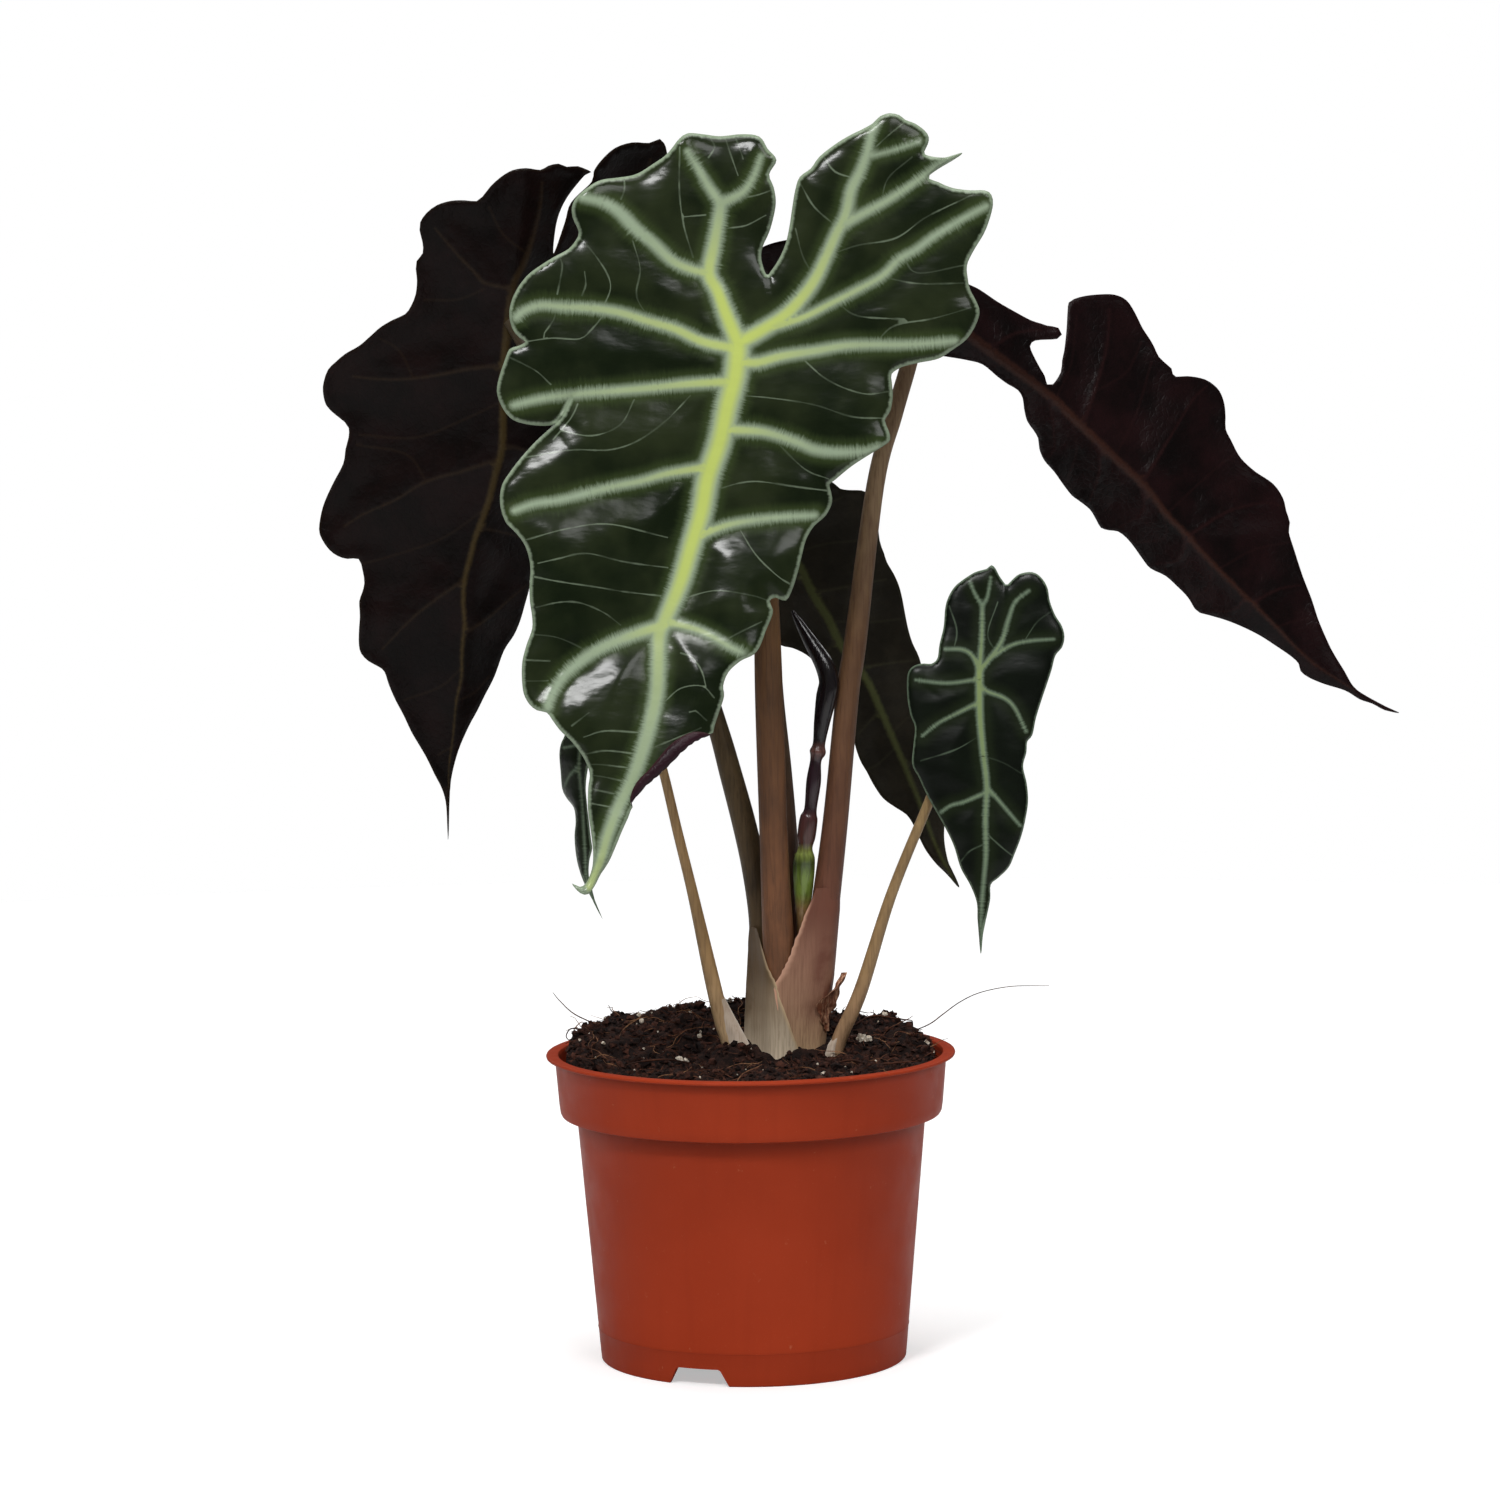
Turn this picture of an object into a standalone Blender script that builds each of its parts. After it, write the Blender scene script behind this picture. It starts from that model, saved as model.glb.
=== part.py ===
"""A potted alocasia: a twelve-centimetre nursery pot, its peat, the corm and roots in it,
six arrow-shaped leaves on their petioles, one rolled new leaf and the papery sheaths at the base.

Written in millimetres and scaled once. X is to the right, Y away from the viewer, Z up.
The origin is the middle of the pot's foot, on the surface that the pot stands on.
"""

import math

import bmesh
import bpy
from mathutils import Vector
from mathutils.geometry import delaunay_2d_cdt

MM = 0.001
GAP = 0.35

# ---------------------------------------------------------------- driving dimensions
POT_HEIGHT = 90.5
LIP_RADIUS = 60.0
LIP_DEPTH = 1.9
COLLAR_TOP_RADIUS = 57.5
COLLAR_FOOT_RADIUS = 56.1
COLLAR_FOOT_Z = 72.4
BODY_TOP_RADIUS = 51.2
FOOT_RADIUS = 45.0
WALL = 1.3
FLOOR_TOP_Z = 6.6
FOOT_RING_INNER = 43.6
PAD_RADIUS = 16.0
DRAIN_HOLES = 6
DRAIN_RADIUS = 4.0
DRAIN_CIRCLE = 30.0
DRAIN_TURN = 0.37
NOTCHES = 3
NOTCH_ANGLE = math.radians(249)
NOTCH_TOP_WIDTH = 13.5
NOTCH_FOOT_WIDTH = 20.0
NOTCH_HEIGHT = 5.0
ROUND_STEPS = 48

SOIL_FLOOR_Z = 7.1
SOIL_EDGE_Z = 86.6
CORM_X = 10.0
CORM_Y = 0.8
CORM_CROWN_Z = 85.3
ROOTS = 6
ROOT_RADIUS = 1.2

BLADE_SPACING = 9.5
BLADE_THICKNESS = 1.0
LOBE_REACH = 80.0
SHEATH_THICKNESS = 0.8
SHEATH_FOOT_Z = 86.0

# ---------------------------------------------------------------- the scene and its helpers
for old in list(bpy.data.objects):
    bpy.data.objects.remove(old, do_unlink=True)

plant_collection = bpy.data.collections.new("potted_alocasia")
cutter_collection = bpy.data.collections.new("cutters")
bpy.context.scene.collection.children.link(plant_collection)
bpy.context.scene.collection.children.link(cutter_collection)


def plain_material(name, colour, roughness):
    material = bpy.data.materials.new(name)
    material.use_nodes = True
    shader = material.node_tree.nodes["Principled BSDF"]
    shader.inputs["Base Color"].default_value = (*colour, 1)
    shader.inputs["Roughness"].default_value = roughness
    shader.inputs["Metallic"].default_value = 0
    return material


def add_part(name, data, material, smooth=True):
    part = bpy.data.objects.new(name, data)
    part.data.materials.append(material)
    if smooth and isinstance(data, bpy.types.Mesh):
        data.shade_smooth()
    plant_collection.objects.link(part)
    return part


def add_cutter(name, mesh):
    cutter = bpy.data.objects.new(name, mesh)
    cutter.hide_render = True
    cutter.display_type = "WIRE"
    cutter_collection.objects.link(cutter)
    return cutter


def evaluated_mesh(thing):
    """The object's mesh with its modifiers applied and its loose seams joined; the object goes."""
    graph = bpy.context.evaluated_depsgraph_get()
    mesh = bpy.data.meshes.new_from_object(thing.evaluated_get(graph))
    bpy.data.objects.remove(thing, do_unlink=True)
    shape = bmesh.new()
    shape.from_mesh(mesh)
    bmesh.ops.remove_doubles(shape, verts=shape.verts, dist=0.01 * MM)
    shape.to_mesh(mesh)
    shape.free()
    return mesh


def turned_mesh(name, profile, centre=(0.0, 0.0), steps=ROUND_STEPS):
    """A solid turned about Z from (radius, z) points that run down its outer side."""
    line = bpy.data.meshes.new(name)
    points = [(radius * MM, 0, z * MM) for radius, z in profile]
    line.from_pydata(points, [(i, i + 1) for i in range(len(points) - 1)], [])
    turned = bpy.data.objects.new(name, line)
    plant_collection.objects.link(turned)
    screw = turned.modifiers.new("turn", "SCREW")
    screw.axis = "Z"
    screw.steps = steps
    screw.render_steps = steps
    screw.use_merge_vertices = True
    screw.merge_threshold = 0.00005
    mesh = evaluated_mesh(turned)
    for vertex in mesh.vertices:
        vertex.co += Vector((centre[0] * MM, centre[1] * MM, 0))
    return mesh


def cut(part, cutter):
    boolean = part.modifiers.new(cutter.name, "BOOLEAN")
    boolean.operation = "DIFFERENCE"
    boolean.solver = "EXACT"
    boolean.object = cutter


def through_points(points, pieces):
    """A smooth curve through the points, `pieces` steps to a span (Catmull-Rom)."""
    vectors = [Vector(point) for point in points]
    ends = [2 * vectors[0] - vectors[1]] + vectors + [2 * vectors[-1] - vectors[-2]]
    curve = []
    for a, b, c, d in zip(ends, ends[1:], ends[2:], ends[3:]):
        for step in range(pieces):
            t = step / pieces
            curve.append(
                0.5 * (2 * b + (c - a) * t + (2 * a - 5 * b + 4 * c - d) * t**2
                       + (3 * b - a - 3 * c + d) * t**3)
            )
    return curve + [vectors[-1]]


def stem_curve(name, path, pieces=2, extra=0.0, resolution=2):
    """A tube along (x, y, z, radius) points, as a poly curve with capped ends."""
    curve = bpy.data.curves.new(name, "CURVE")
    curve.dimensions = "3D"
    curve.bevel_depth = MM
    curve.bevel_resolution = resolution
    curve.use_fill_caps = True
    line = curve.splines.new("POLY")
    points = through_points(path, pieces)
    line.points.add(len(points) - 1)
    for spot, (x, y, z, radius) in zip(line.points, points):
        spot.co = (x * MM, y * MM, z * MM, 1)
        spot.radius = radius + extra
    line.use_smooth = True
    return curve


def channel(name, path, pieces=2, resolution=2):
    """A cutter that clears a stem or a root by the running gap."""
    tube = bpy.data.objects.new(name, stem_curve(name, path, pieces, GAP, resolution))
    plant_collection.objects.link(tube)
    return add_cutter(name, evaluated_mesh(tube))


# ---------------------------------------------------------------- materials
terracotta_plastic = plain_material("terracotta_plastic", (0.31, 0.04, 0.02), 0.45)
peat = plain_material("peat", (0.02, 0.012, 0.008), 0.95)
corm_skin = plain_material("corm_skin", (0.12, 0.06, 0.035), 0.8)
root_skin = plain_material("root_skin", (0.45, 0.36, 0.25), 0.75)
leaf_green = plain_material("leaf_green", (0.018, 0.035, 0.012), 0.3)
leaf_purple = plain_material("leaf_purple", (0.022, 0.011, 0.012), 0.45)
petiole_brown = plain_material("petiole_brown", (0.16, 0.085, 0.05), 0.45)
petiole_tan = plain_material("petiole_tan", (0.33, 0.22, 0.12), 0.5)
sheath_pink = plain_material("sheath_pink", (0.35, 0.22, 0.16), 0.5)
dry_sheath = plain_material("dry_sheath", (0.2, 0.09, 0.04), 0.85)


# ---------------------------------------------------------------- pot
def make_pot():
    """A moulded pot of one wall: lip, stepped collar, tapered body, floor and foot ring."""
    inner_collar = COLLAR_TOP_RADIUS - WALL
    inner_collar_foot = COLLAR_FOOT_RADIUS - WALL
    profile = [
        (0, 1.4),
        (PAD_RADIUS - 1.6, 1.4),
        (PAD_RADIUS + 0.4, FLOOR_TOP_Z),
        (FOOT_RADIUS - WALL + 0.1, FLOOR_TOP_Z),
        (BODY_TOP_RADIUS - WALL, COLLAR_FOOT_Z + 0.6),
        (inner_collar_foot - 1.0, COLLAR_FOOT_Z + 1.2),
        (inner_collar_foot, COLLAR_FOOT_Z + 2.4),
        (inner_collar, POT_HEIGHT - 0.6),
        (inner_collar + 0.6, POT_HEIGHT),
        (LIP_RADIUS - 0.7, POT_HEIGHT),
        (LIP_RADIUS, POT_HEIGHT - 0.6),
        (LIP_RADIUS, POT_HEIGHT - LIP_DEPTH + 0.5),
        (LIP_RADIUS - 0.6, POT_HEIGHT - LIP_DEPTH),
        (COLLAR_TOP_RADIUS, POT_HEIGHT - LIP_DEPTH - 0.2),
        (COLLAR_FOOT_RADIUS, COLLAR_FOOT_Z + 1.4),
        (COLLAR_FOOT_RADIUS - 0.9, COLLAR_FOOT_Z),
        (BODY_TOP_RADIUS, COLLAR_FOOT_Z - 0.5),
        (FOOT_RADIUS + 0.25, 4.0),
        (FOOT_RADIUS - 0.3, 0),
        (FOOT_RING_INNER, 0),
        (FOOT_RING_INNER - 0.3, FLOOR_TOP_Z - WALL),
        (PAD_RADIUS + 1.4, FLOOR_TOP_Z - WALL),
        (PAD_RADIUS, 0),
        (0, 0),
    ]
    pot = add_part("pot", turned_mesh("pot", profile), terracotta_plastic, smooth=False)
    for index in range(NOTCHES):
        cut(pot, notch_cutter(index))
    for index in range(DRAIN_HOLES):
        angle = index * math.tau / DRAIN_HOLES + DRAIN_TURN
        shape = bmesh.new()
        bmesh.ops.create_cone(shape, cap_ends=True, segments=12, depth=8 * MM,
                              radius1=DRAIN_RADIUS * MM, radius2=DRAIN_RADIUS * MM)
        place = Vector((DRAIN_CIRCLE * math.cos(angle), DRAIN_CIRCLE * math.sin(angle), FLOOR_TOP_Z))
        bmesh.ops.translate(shape, verts=shape.verts, vec=place * MM)
        mesh = bpy.data.meshes.new(f"drain_{index + 1}")
        shape.to_mesh(mesh)
        shape.free()
        cut(pot, add_cutter(mesh.name, mesh))


def notch_cutter(index):
    """A trapezoid block across the foot ring, wider at the bottom."""
    shape = bmesh.new()
    bmesh.ops.create_cube(shape, size=1)
    angle = NOTCH_ANGLE + index * math.tau / NOTCHES
    for vertex in shape.verts:
        foot = vertex.co.z < 0
        along = FOOT_RADIUS - 0.8 + vertex.co.x * 7.0
        across = vertex.co.y * (NOTCH_FOOT_WIDTH if foot else NOTCH_TOP_WIDTH)
        x = along * math.cos(angle) - across * math.sin(angle)
        y = along * math.sin(angle) + across * math.cos(angle)
        vertex.co = Vector((x, y, -2.0 if foot else NOTCH_HEIGHT)) * MM
    mesh = bpy.data.meshes.new(f"notch_{index + 1}")
    shape.to_mesh(mesh)
    shape.free()
    return add_cutter(mesh.name, mesh)


# ---------------------------------------------------------------- stems
# Each is a list of (x, y, z, radius) from the corm's crown up to the back of its blade.
PETIOLES = {
    "petiole_front": [
        (8.5, -5.2, 86.0, 4.2), (8.6, -5.6, 102, 4.6), (8.4, -6.4, 124, 4.6), (7.8, -7.6, 140, 4.3),
        (7.3, -8.5, 158, 4.1), (6.5, -10, 195, 4.1), (5.9, -11.3, 225, 3.6), (4.6, -13, 252, 3.1),
        (2.4, -15.2, 276, 2.7), (0.4, -17.0, 291, 2.5),
    ],
    "petiole_left": [
        (2.6, 3.2, 86.0, 4.0), (3.4, 2.9, 104, 4.0), (3.8, 2.8, 120, 3.9), (3.5, 3, 131, 3.8),
        (1.4, 3.4, 145, 3.6), (-1.4, 4, 158, 3.5), (-5, 5, 172, 3.3), (-8.5, 6.2, 185, 3.0),
        (-15, 9, 205, 2.8), (-26, 12.8, 231, 2.7), (-39, 17, 257, 2.6), (-53, 21, 281, 2.5),
        (-62.5, 23.2, 295, 2.4),
    ],
    "petiole_right": [
        (16.6, -0.4, 86.0, 4.1), (17.5, -0.8, 103, 4.6), (19.6, -1.2, 113, 4.5), (22, -1.4, 131, 4.2),
        (25.5, -0.8, 158, 3.7), (29.4, 0.3, 195, 3.4), (31.8, 1, 210, 3.3), (38.2, 3.2, 256, 2.6),
        (43.8, 5.0, 276, 2.5), (48.4, 7.0, 291, 2.4), (50.6, 8.6, 300, 2.3),
    ],
    "petiole_back": [
        (11, 6.6, 86.0, 4.0), (11.4, 6.3, 104, 4.0), (11.6, 6.2, 125, 3.7), (11.2, 6.8, 150, 3.4),
        (9.8, 8.5, 172, 3.2), (7.9, 12, 195, 2.9), (7.2, 19, 218, 2.6), (8.3, 27, 232, 2.4),
        (9.6, 32, 238, 2.3),
    ],
    "petiole_small_left": [
        (-6.4, -5.4, 94.5, 2.4), (-8.2, -6, 100, 2.3), (-11.1, -7, 113, 2.2), (-16.3, -8.5, 138, 1.6),
        (-20.4, -9.8, 156, 1.45), (-24.6, -11.5, 175, 1.35), (-29.6, -12.6, 193, 1.3),
        (-34.4, -13.2, 205, 1.3), (-36.4, -13.3, 210, 1.25),
    ],
    "petiole_small_right": [
        (26, -6, 94.5, 2.2), (32.3, -8, 109, 2.05), (41.3, -9.6, 137, 1.6),
        (52, -10.0, 163, 1.45), (60, -9.2, 182, 1.35), (66.2, -8.2, 196, 1.3),
    ],
}
STEM_MATERIAL = {"petiole_small_left": petiole_tan, "petiole_small_right": petiole_tan}

ROLLED_LEAF = [
    (15.2, 0.5, 121, 1.1), (15.7, -0.5, 130, 1.6), (16.1, -1.8, 140, 2.5), (16.3, -2.4, 148, 2.8),
    (16.9, -2.8, 156, 2.6), (17.9, -3.0, 164, 2.3), (19.3, -3.0, 172, 2.2), (20.3, -2.8, 179, 2.0),
    (21.8, -2.6, 187, 2.4), (22.9, -2.4, 195, 2.3), (22.6, -1.4, 204, 1.9), (19.6, 0.2, 212, 1.4),
    (15.8, 1.4, 219, 0.8),
]


def make_stems():
    for name, path in PETIOLES.items():
        add_part(name, stem_curve(name, path), STEM_MATERIAL.get(name, petiole_brown))
    add_part("rolled_leaf", stem_curve("rolled_leaf", ROLLED_LEAF), leaf_green)


# ---------------------------------------------------------------- corm, roots and soil
CORM_PROFILE = [
    (0, CORM_CROWN_Z), (11.2, CORM_CROWN_Z), (12.4, CORM_CROWN_Z - 3), (13, 76), (12.2, 67),
    (9, 59), (4.5, 55.5), (0, 54.5),
]


def root_path(index):
    """A root that leaves the corm's lower side and wanders out and down to the pot's wall."""
    angle = (index + 0.35) * math.tau / ROOTS
    depth = 26 + 8 * math.sin(2.1 * index + 0.6)
    path = []
    for step in range(7):
        t = step / 6
        radius = 14.6 + 19.4 * t
        swing = angle + 0.5 * t * math.sin(1.7 * index + 1) + 0.09 * math.sin(7 * t + index)
        z = 69 - depth * t**1.3 - 18 * t
        path.append((CORM_X + radius * math.cos(swing), CORM_Y + radius * math.sin(swing), z,
                     ROOT_RADIUS * (1 - 0.45 * t)))
    return path


def soil_top(x, y):
    """The peat's height: low inside the front lip, heaped behind the stems, with small lumps."""
    radius = math.hypot(x, y)
    rise = min(max((y + 24) / 42, 0), 1)
    rise = rise * rise * (3 - 2 * rise)
    rim = min(max((55.6 - radius) / 7, 0), 1)
    lumps = 0.7 * math.sin(0.31 * x + 1.1) * math.cos(0.27 * y) + 0.4 * math.sin(0.6 * x - 0.5 * y)
    heap = (7.6 - 0.03 * max(x, 0)) * rise + lumps
    return SOIL_EDGE_Z + 2.0 * min(1, rim * 3) + heap * (0.35 + 0.65 * rim)


def make_soil():
    floor_radius = FOOT_RADIUS - WALL - GAP
    ledge = BODY_TOP_RADIUS - WALL - GAP
    collar = COLLAR_FOOT_RADIUS - WALL - GAP
    rings = [0, 8, 16, 24, 32, 40, 47, 52]
    profile = [(radius, SOIL_EDGE_Z + 5) for radius in rings] + [
        (collar + 1.0, SOIL_EDGE_Z),
        (collar, COLLAR_FOOT_Z + 3.2),
        (collar - 1.2, COLLAR_FOOT_Z + 1.8),
        (ledge, COLLAR_FOOT_Z + 1.2),
        (floor_radius, SOIL_FLOOR_Z),
        (0, SOIL_FLOOR_Z),
    ]
    mesh = turned_mesh("soil", profile, steps=40)
    for vertex in mesh.vertices:
        x, y, z = vertex.co / MM
        if z > SOIL_EDGE_Z - 0.1:
            vertex.co.z = soil_top(x, y) * MM
    soil = add_part("soil", mesh, peat, smooth=False)
    pocket = [(0, 112), (13.9, 112), (13.9, 83.4)]
    pocket += [(radius + GAP + 0.1, z) for radius, z in CORM_PROFILE[3:-1]] + [(0, 54.0)]
    cut(soil, add_cutter("corm_pocket", turned_mesh("corm_pocket", pocket, (CORM_X, CORM_Y), 24)))
    for index in range(ROOTS):
        path = root_path(index)
        inner = Vector(path[0]) - 2.6 * (Vector(path[1]) - Vector(path[0])).normalized()
        inner.w = path[0][3]
        outer = Vector(path[-1]) + 0.4 * (Vector(path[-1]) - Vector(path[-2])).normalized()
        outer.w = path[-1][3]
        cut(soil, channel(f"root_channel_{index + 1}", [tuple(inner)] + path + [tuple(outer)], 1, 1))


def make_corm():
    add_part("corm", turned_mesh("corm", CORM_PROFILE, (CORM_X, CORM_Y), 24), corm_skin)


def make_roots():
    for index in range(ROOTS):
        name = f"root_{index + 1}"
        add_part(name, stem_curve(name, root_path(index), 1, 0, 1), root_skin)


# ---------------------------------------------------------------- sheaths at the base
def between(table, value):
    """Straight-line reading of (position, value) pairs."""
    if value <= table[0][0]:
        return table[0][1]
    for (low, a), (high, b) in zip(table, table[1:]):
        if value <= high:
            return a + (b - a) * (value - low) / (high - low)
    return table[-1][1]


CLUSTER_X = [(86, 10.0), (113, 12.0), (137, 13.5)]
CLUSTER_Y = [(86, 0.8), (113, 0.3), (137, 0.3)]
CLUSTER_RADIUS = [(86, 12.2), (113, 13.3), (137, 13.9)]
FRONT_EDGE = [(86, 275), (93, 272), (110, 246)]
LEFT_TOP = [(100, 98), (130, 102), (170, 108), (200, 116), (227, 120), (245, 111)]
RIGHT_TOP = [(246, 112), (267, 122.5), (292, 135), (300, 137), (340, 128), (360, 118), (452, 99)]


def sheath_mesh(name, back, top, side, columns, rows=5, lift=0.0):
    """A sheet wrapped round the stems, from its back edge to the slanting edge in front."""
    shape = bmesh.new()
    grid = []
    for column in range(columns + 1):
        share = column / columns
        middle = between(FRONT_EDGE, 108) + side * 1.6
        crest = between(top, middle + (back - middle) * share)
        line = []
        for row in range(rows + 1):
            z = SHEATH_FOOT_Z + (crest - SHEATH_FOOT_Z) * row / rows
            front = between(FRONT_EDGE, z) + side * 1.6
            angle = math.radians(front + (back - front) * share)
            radius = between(CLUSTER_RADIUS, z) + lift
            line.append(shape.verts.new(Vector((
                between(CLUSTER_X, z) + radius * math.cos(angle),
                between(CLUSTER_Y, z) + radius * math.sin(angle), z)) * MM))
        grid.append(line)
    for left, right in zip(grid, grid[1:]):
        for row in range(rows):
            shape.faces.new((left[row], right[row], right[row + 1], left[row + 1]))
    return finished_sheet(name, shape)


def finished_sheet(name, shape):
    mesh = bpy.data.meshes.new(name)
    bmesh.ops.recalc_face_normals(shape, faces=shape.faces)
    shape.to_mesh(mesh)
    shape.free()
    return mesh


def thicken(part, thickness, offset):
    wall = part.modifiers.new("thickness", "SOLIDIFY")
    wall.thickness = thickness * MM
    wall.offset = offset


def make_sheaths():
    left = add_part("sheath_left", sheath_mesh("sheath_left", 100, LEFT_TOP, -1, 12), sheath_pink)
    right = add_part("sheath_right", sheath_mesh("sheath_right", 452, RIGHT_TOP, 1, 14), sheath_pink)
    for sheath in (left, right):
        thicken(sheath, SHEATH_THICKNESS, 0.0)
    shape = bmesh.new()
    corners = [[(20.2, -12.4, 100), (22.6, -10.8, 100.5), (24.2, -8.9, 101)],
               [(20.4, -12.8, 106), (23.0, -11.0, 106.5), (24.8, -9.0, 106)],
               [(21.8, -12.2, 112), (23.8, -10.8, 113), (25.0, -9.2, 111)]]
    grid = [[shape.verts.new(Vector(corner) * MM) for corner in row] for row in corners]
    for low, high in zip(grid, grid[1:]):
        for column in range(2):
            shape.faces.new((low[column], low[column + 1], high[column + 1], high[column]))
    scrap = add_part("dry_sheath_scrap", finished_sheet("dry_sheath_scrap", shape), dry_sheath)
    thicken(scrap, 0.6, 0.0)


# ---------------------------------------------------------------- leaf blades
# Each outline is the blade as seen from the front, in (x, z), and each midrib runs from the
# petiole's joint to the tip. A blade's lean and fold give every point its depth.
BLADES = {
    "blade_front": {
        "midrib": [(-1, 298), (-4.5, 280), (-12.3, 250), (-22.8, 220), (-25.3, 200), (-32.3, 176), (-47, 145)],
        "lean": (-43.6, 0.0, 0.22),
        "folds": (-0.07, -0.07),
        "outline": [
            (7, 317), (9.9, 336), (8, 352), (0, 357), (-15, 357.5), (-25, 349), (-40, 344.5), (-48, 337),
            (-47, 327), (-58, 320), (-66, 308), (-63, 299.5), (-70, 287), (-66, 277), (-55, 272),
            (-66, 262), (-69.3, 254), (-65, 245), (-60.7, 235), (-60.4, 220), (-63.4, 205), (-59, 195),
            (-50, 187), (-44.4, 178), (-44.9, 166), (-43.5, 155), (-47, 145), (-40, 151), (-34, 165),
            (-31, 174), (-19, 184), (-9, 190.5), (-6, 201), (3, 210), (7.7, 222), (14, 229), (17.4, 242),
            (25, 253), (26, 259), (41, 269.5), (41, 277), (43, 288.5), (56, 292.7), (67.5, 305.6),
            (64, 318), (71.5, 336), (60, 341), (62, 351), (53.5, 353), (50, 360), (42, 362.3), (31, 356),
            (20, 347), (14.5, 335), (12, 324),
        ],
    },
    "blade_left": {
        "midrib": [(-69, 306), (-72, 270), (-76.7, 250), (-84.2, 228), (-86, 200), (-90.7, 169.5), (-91.6, 147)],
        "lean": (55.0, 0.0, -0.25),
        "folds": (0.15, 0.8),
        "outline": [
            (-23, 357), (-33, 356.6), (-43, 350), (-46, 340), (-52, 330), (-56, 322), (-57, 333),
            (-51, 345), (-53, 350), (-64, 348.6), (-72, 345), (-78, 339.8), (-89, 338.5), (-94.6, 331),
            (-96.2, 320), (-97, 311), (-110, 300.5), (-121, 293), (-125.2, 284), (-118.2, 273),
            (-120, 262), (-127, 249), (-127, 239), (-116.4, 233.4), (-115.3, 224), (-117, 208),
            (-109.5, 199), (-102, 180), (-95, 166.5), (-91.6, 147), (-90, 164), (-84.5, 182), (-76, 198),
            (-68.5, 214), (-62, 230), (-51, 257), (-42, 280), (-32, 303), (-25, 320), (-20, 340),
        ],
    },
    "blade_right": {
        "midrib": [(52, 309), (70, 296), (90, 281), (110, 262), (130, 240.5), (150, 219.5), (170, 199.5), (198, 182.5)],
        "lean": (-2.5, 0.33, 0.0),
        "folds": (1.1, 0.25),
        "outline": [
            (67, 313.5), (80, 305.7), (90, 301.5), (94, 299.6), (88, 297.2), (84.7, 295), (88, 288.5),
            (90.5, 284), (93.5, 287.5), (95.5, 296), (96.6, 306), (102, 309.9), (111, 310.1), (117, 305),
            (122, 296), (124.5, 291.3), (131, 286), (139, 284.5), (144.5, 277), (145, 269.5), (150.5, 259.5),
            (159.5, 252.8), (164.5, 242), (166, 232.5), (171, 218), (177.5, 201.5), (184, 191), (198, 182.5),
            (183, 189), (169, 195), (163, 201.5), (150, 209.9), (137, 214.3), (131, 222), (122, 228),
            (114.5, 237.5), (107, 240.5), (102, 248), (94, 255.5), (88, 265), (83, 277), (80, 283),
            (70.5, 290.2), (60, 293), (50, 294), (42, 292), (34, 284), (27, 279), (20, 279.5), (17, 287),
            (25, 298), (38, 306), (41, 309.5), (30, 311), (14, 314.5), (5, 319), (6, 325), (20, 327.5),
            (40, 324.5), (55, 319),
        ],
    },
    "blade_back": {
        "midrib": [(10.5, 240), (17, 229), (25, 215), (36, 196), (45, 175), (54, 152), (64, 131)],
        "lean": (45.0, 0.0, -0.2),
        "folds": (0.2, 0.25),
        "outline": [
            (26.8, 255), (37, 251.5), (40, 243), (44.5, 228), (48.7, 211), (52.5, 201), (54.5, 190),
            (56.5, 176), (58.5, 160), (59.6, 147), (64, 131), (57, 138.5), (50.5, 150), (41, 159),
            (35, 169), (31, 182), (28, 195), (18, 203.5), (7, 208), (-2, 214), (-6, 225), (-6, 239),
            (1, 250), (6, 250), (9, 243), (12, 248), (15, 258),
        ],
    },
    "blade_small_right": {
        "midrib": [(67.3, 202), (67.3, 190), (69, 170), (68.5, 150), (66.7, 121.5)],
        "lean": (-12.0, 0.0, 0.15),
        "folds": (-0.12, -0.12),
        "outline": [
            (75.3, 226.5), (71.5, 232.4), (62.5, 228), (57.8, 220), (56, 208), (52, 204.6), (47, 202.5),
            (46.8, 192), (47.6, 177), (54.5, 162), (61, 147), (65.5, 137), (66.7, 121.5), (69.4, 136),
            (71, 142.5), (76.8, 150), (80.6, 163), (80.3, 176), (84, 190), (88.5, 204), (92, 212),
            (88, 223), (84, 230), (79, 230),
        ],
    },
    "blade_small_left": {
        "midrib": [(-40, 213), (-46.5, 188), (-48.3, 170), (-47.2, 152), (-42.5, 132)],
        "lean": (-14.0, 0.0, 0.05),
        "folds": (2.2, -2.6),
        "outline": [
            (-40.2, 216), (-41.2, 226), (-44, 231), (-49, 228), (-52, 219), (-52.5, 207), (-54.5, 196),
            (-53.5, 186), (-54.5, 179), (-53.8, 169), (-50.3, 163), (-50.2, 155), (-48.6, 144.5),
            (-42.5, 132), (-45.6, 145), (-45.5, 156), (-46, 164), (-46.5, 173), (-44.6, 183), (-41.8, 195),
            (-38.4, 206), (-35.2, 216), (-35.6, 224), (-37.8, 226), (-39.2, 221),
        ],
    },
}
PURPLE_BLADES = ("blade_left", "blade_right", "blade_back")


def closed_curve(points, spacing):
    """A smooth closed outline with its points about one spacing apart."""
    count = len(points)
    outline = []
    for index in range(count):
        a, b, c, d = (Vector(points[(index + step) % count]) for step in (-1, 0, 1, 2))
        steps = max(1, round((c - b).length / spacing))
        for step in range(steps):
            t = step / steps
            outline.append(
                0.5 * (2 * b + (c - a) * t + (2 * a - 5 * b + 4 * c - d) * t**2
                       + (3 * b - a - 3 * c + d) * t**3)
            )
    return outline


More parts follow.
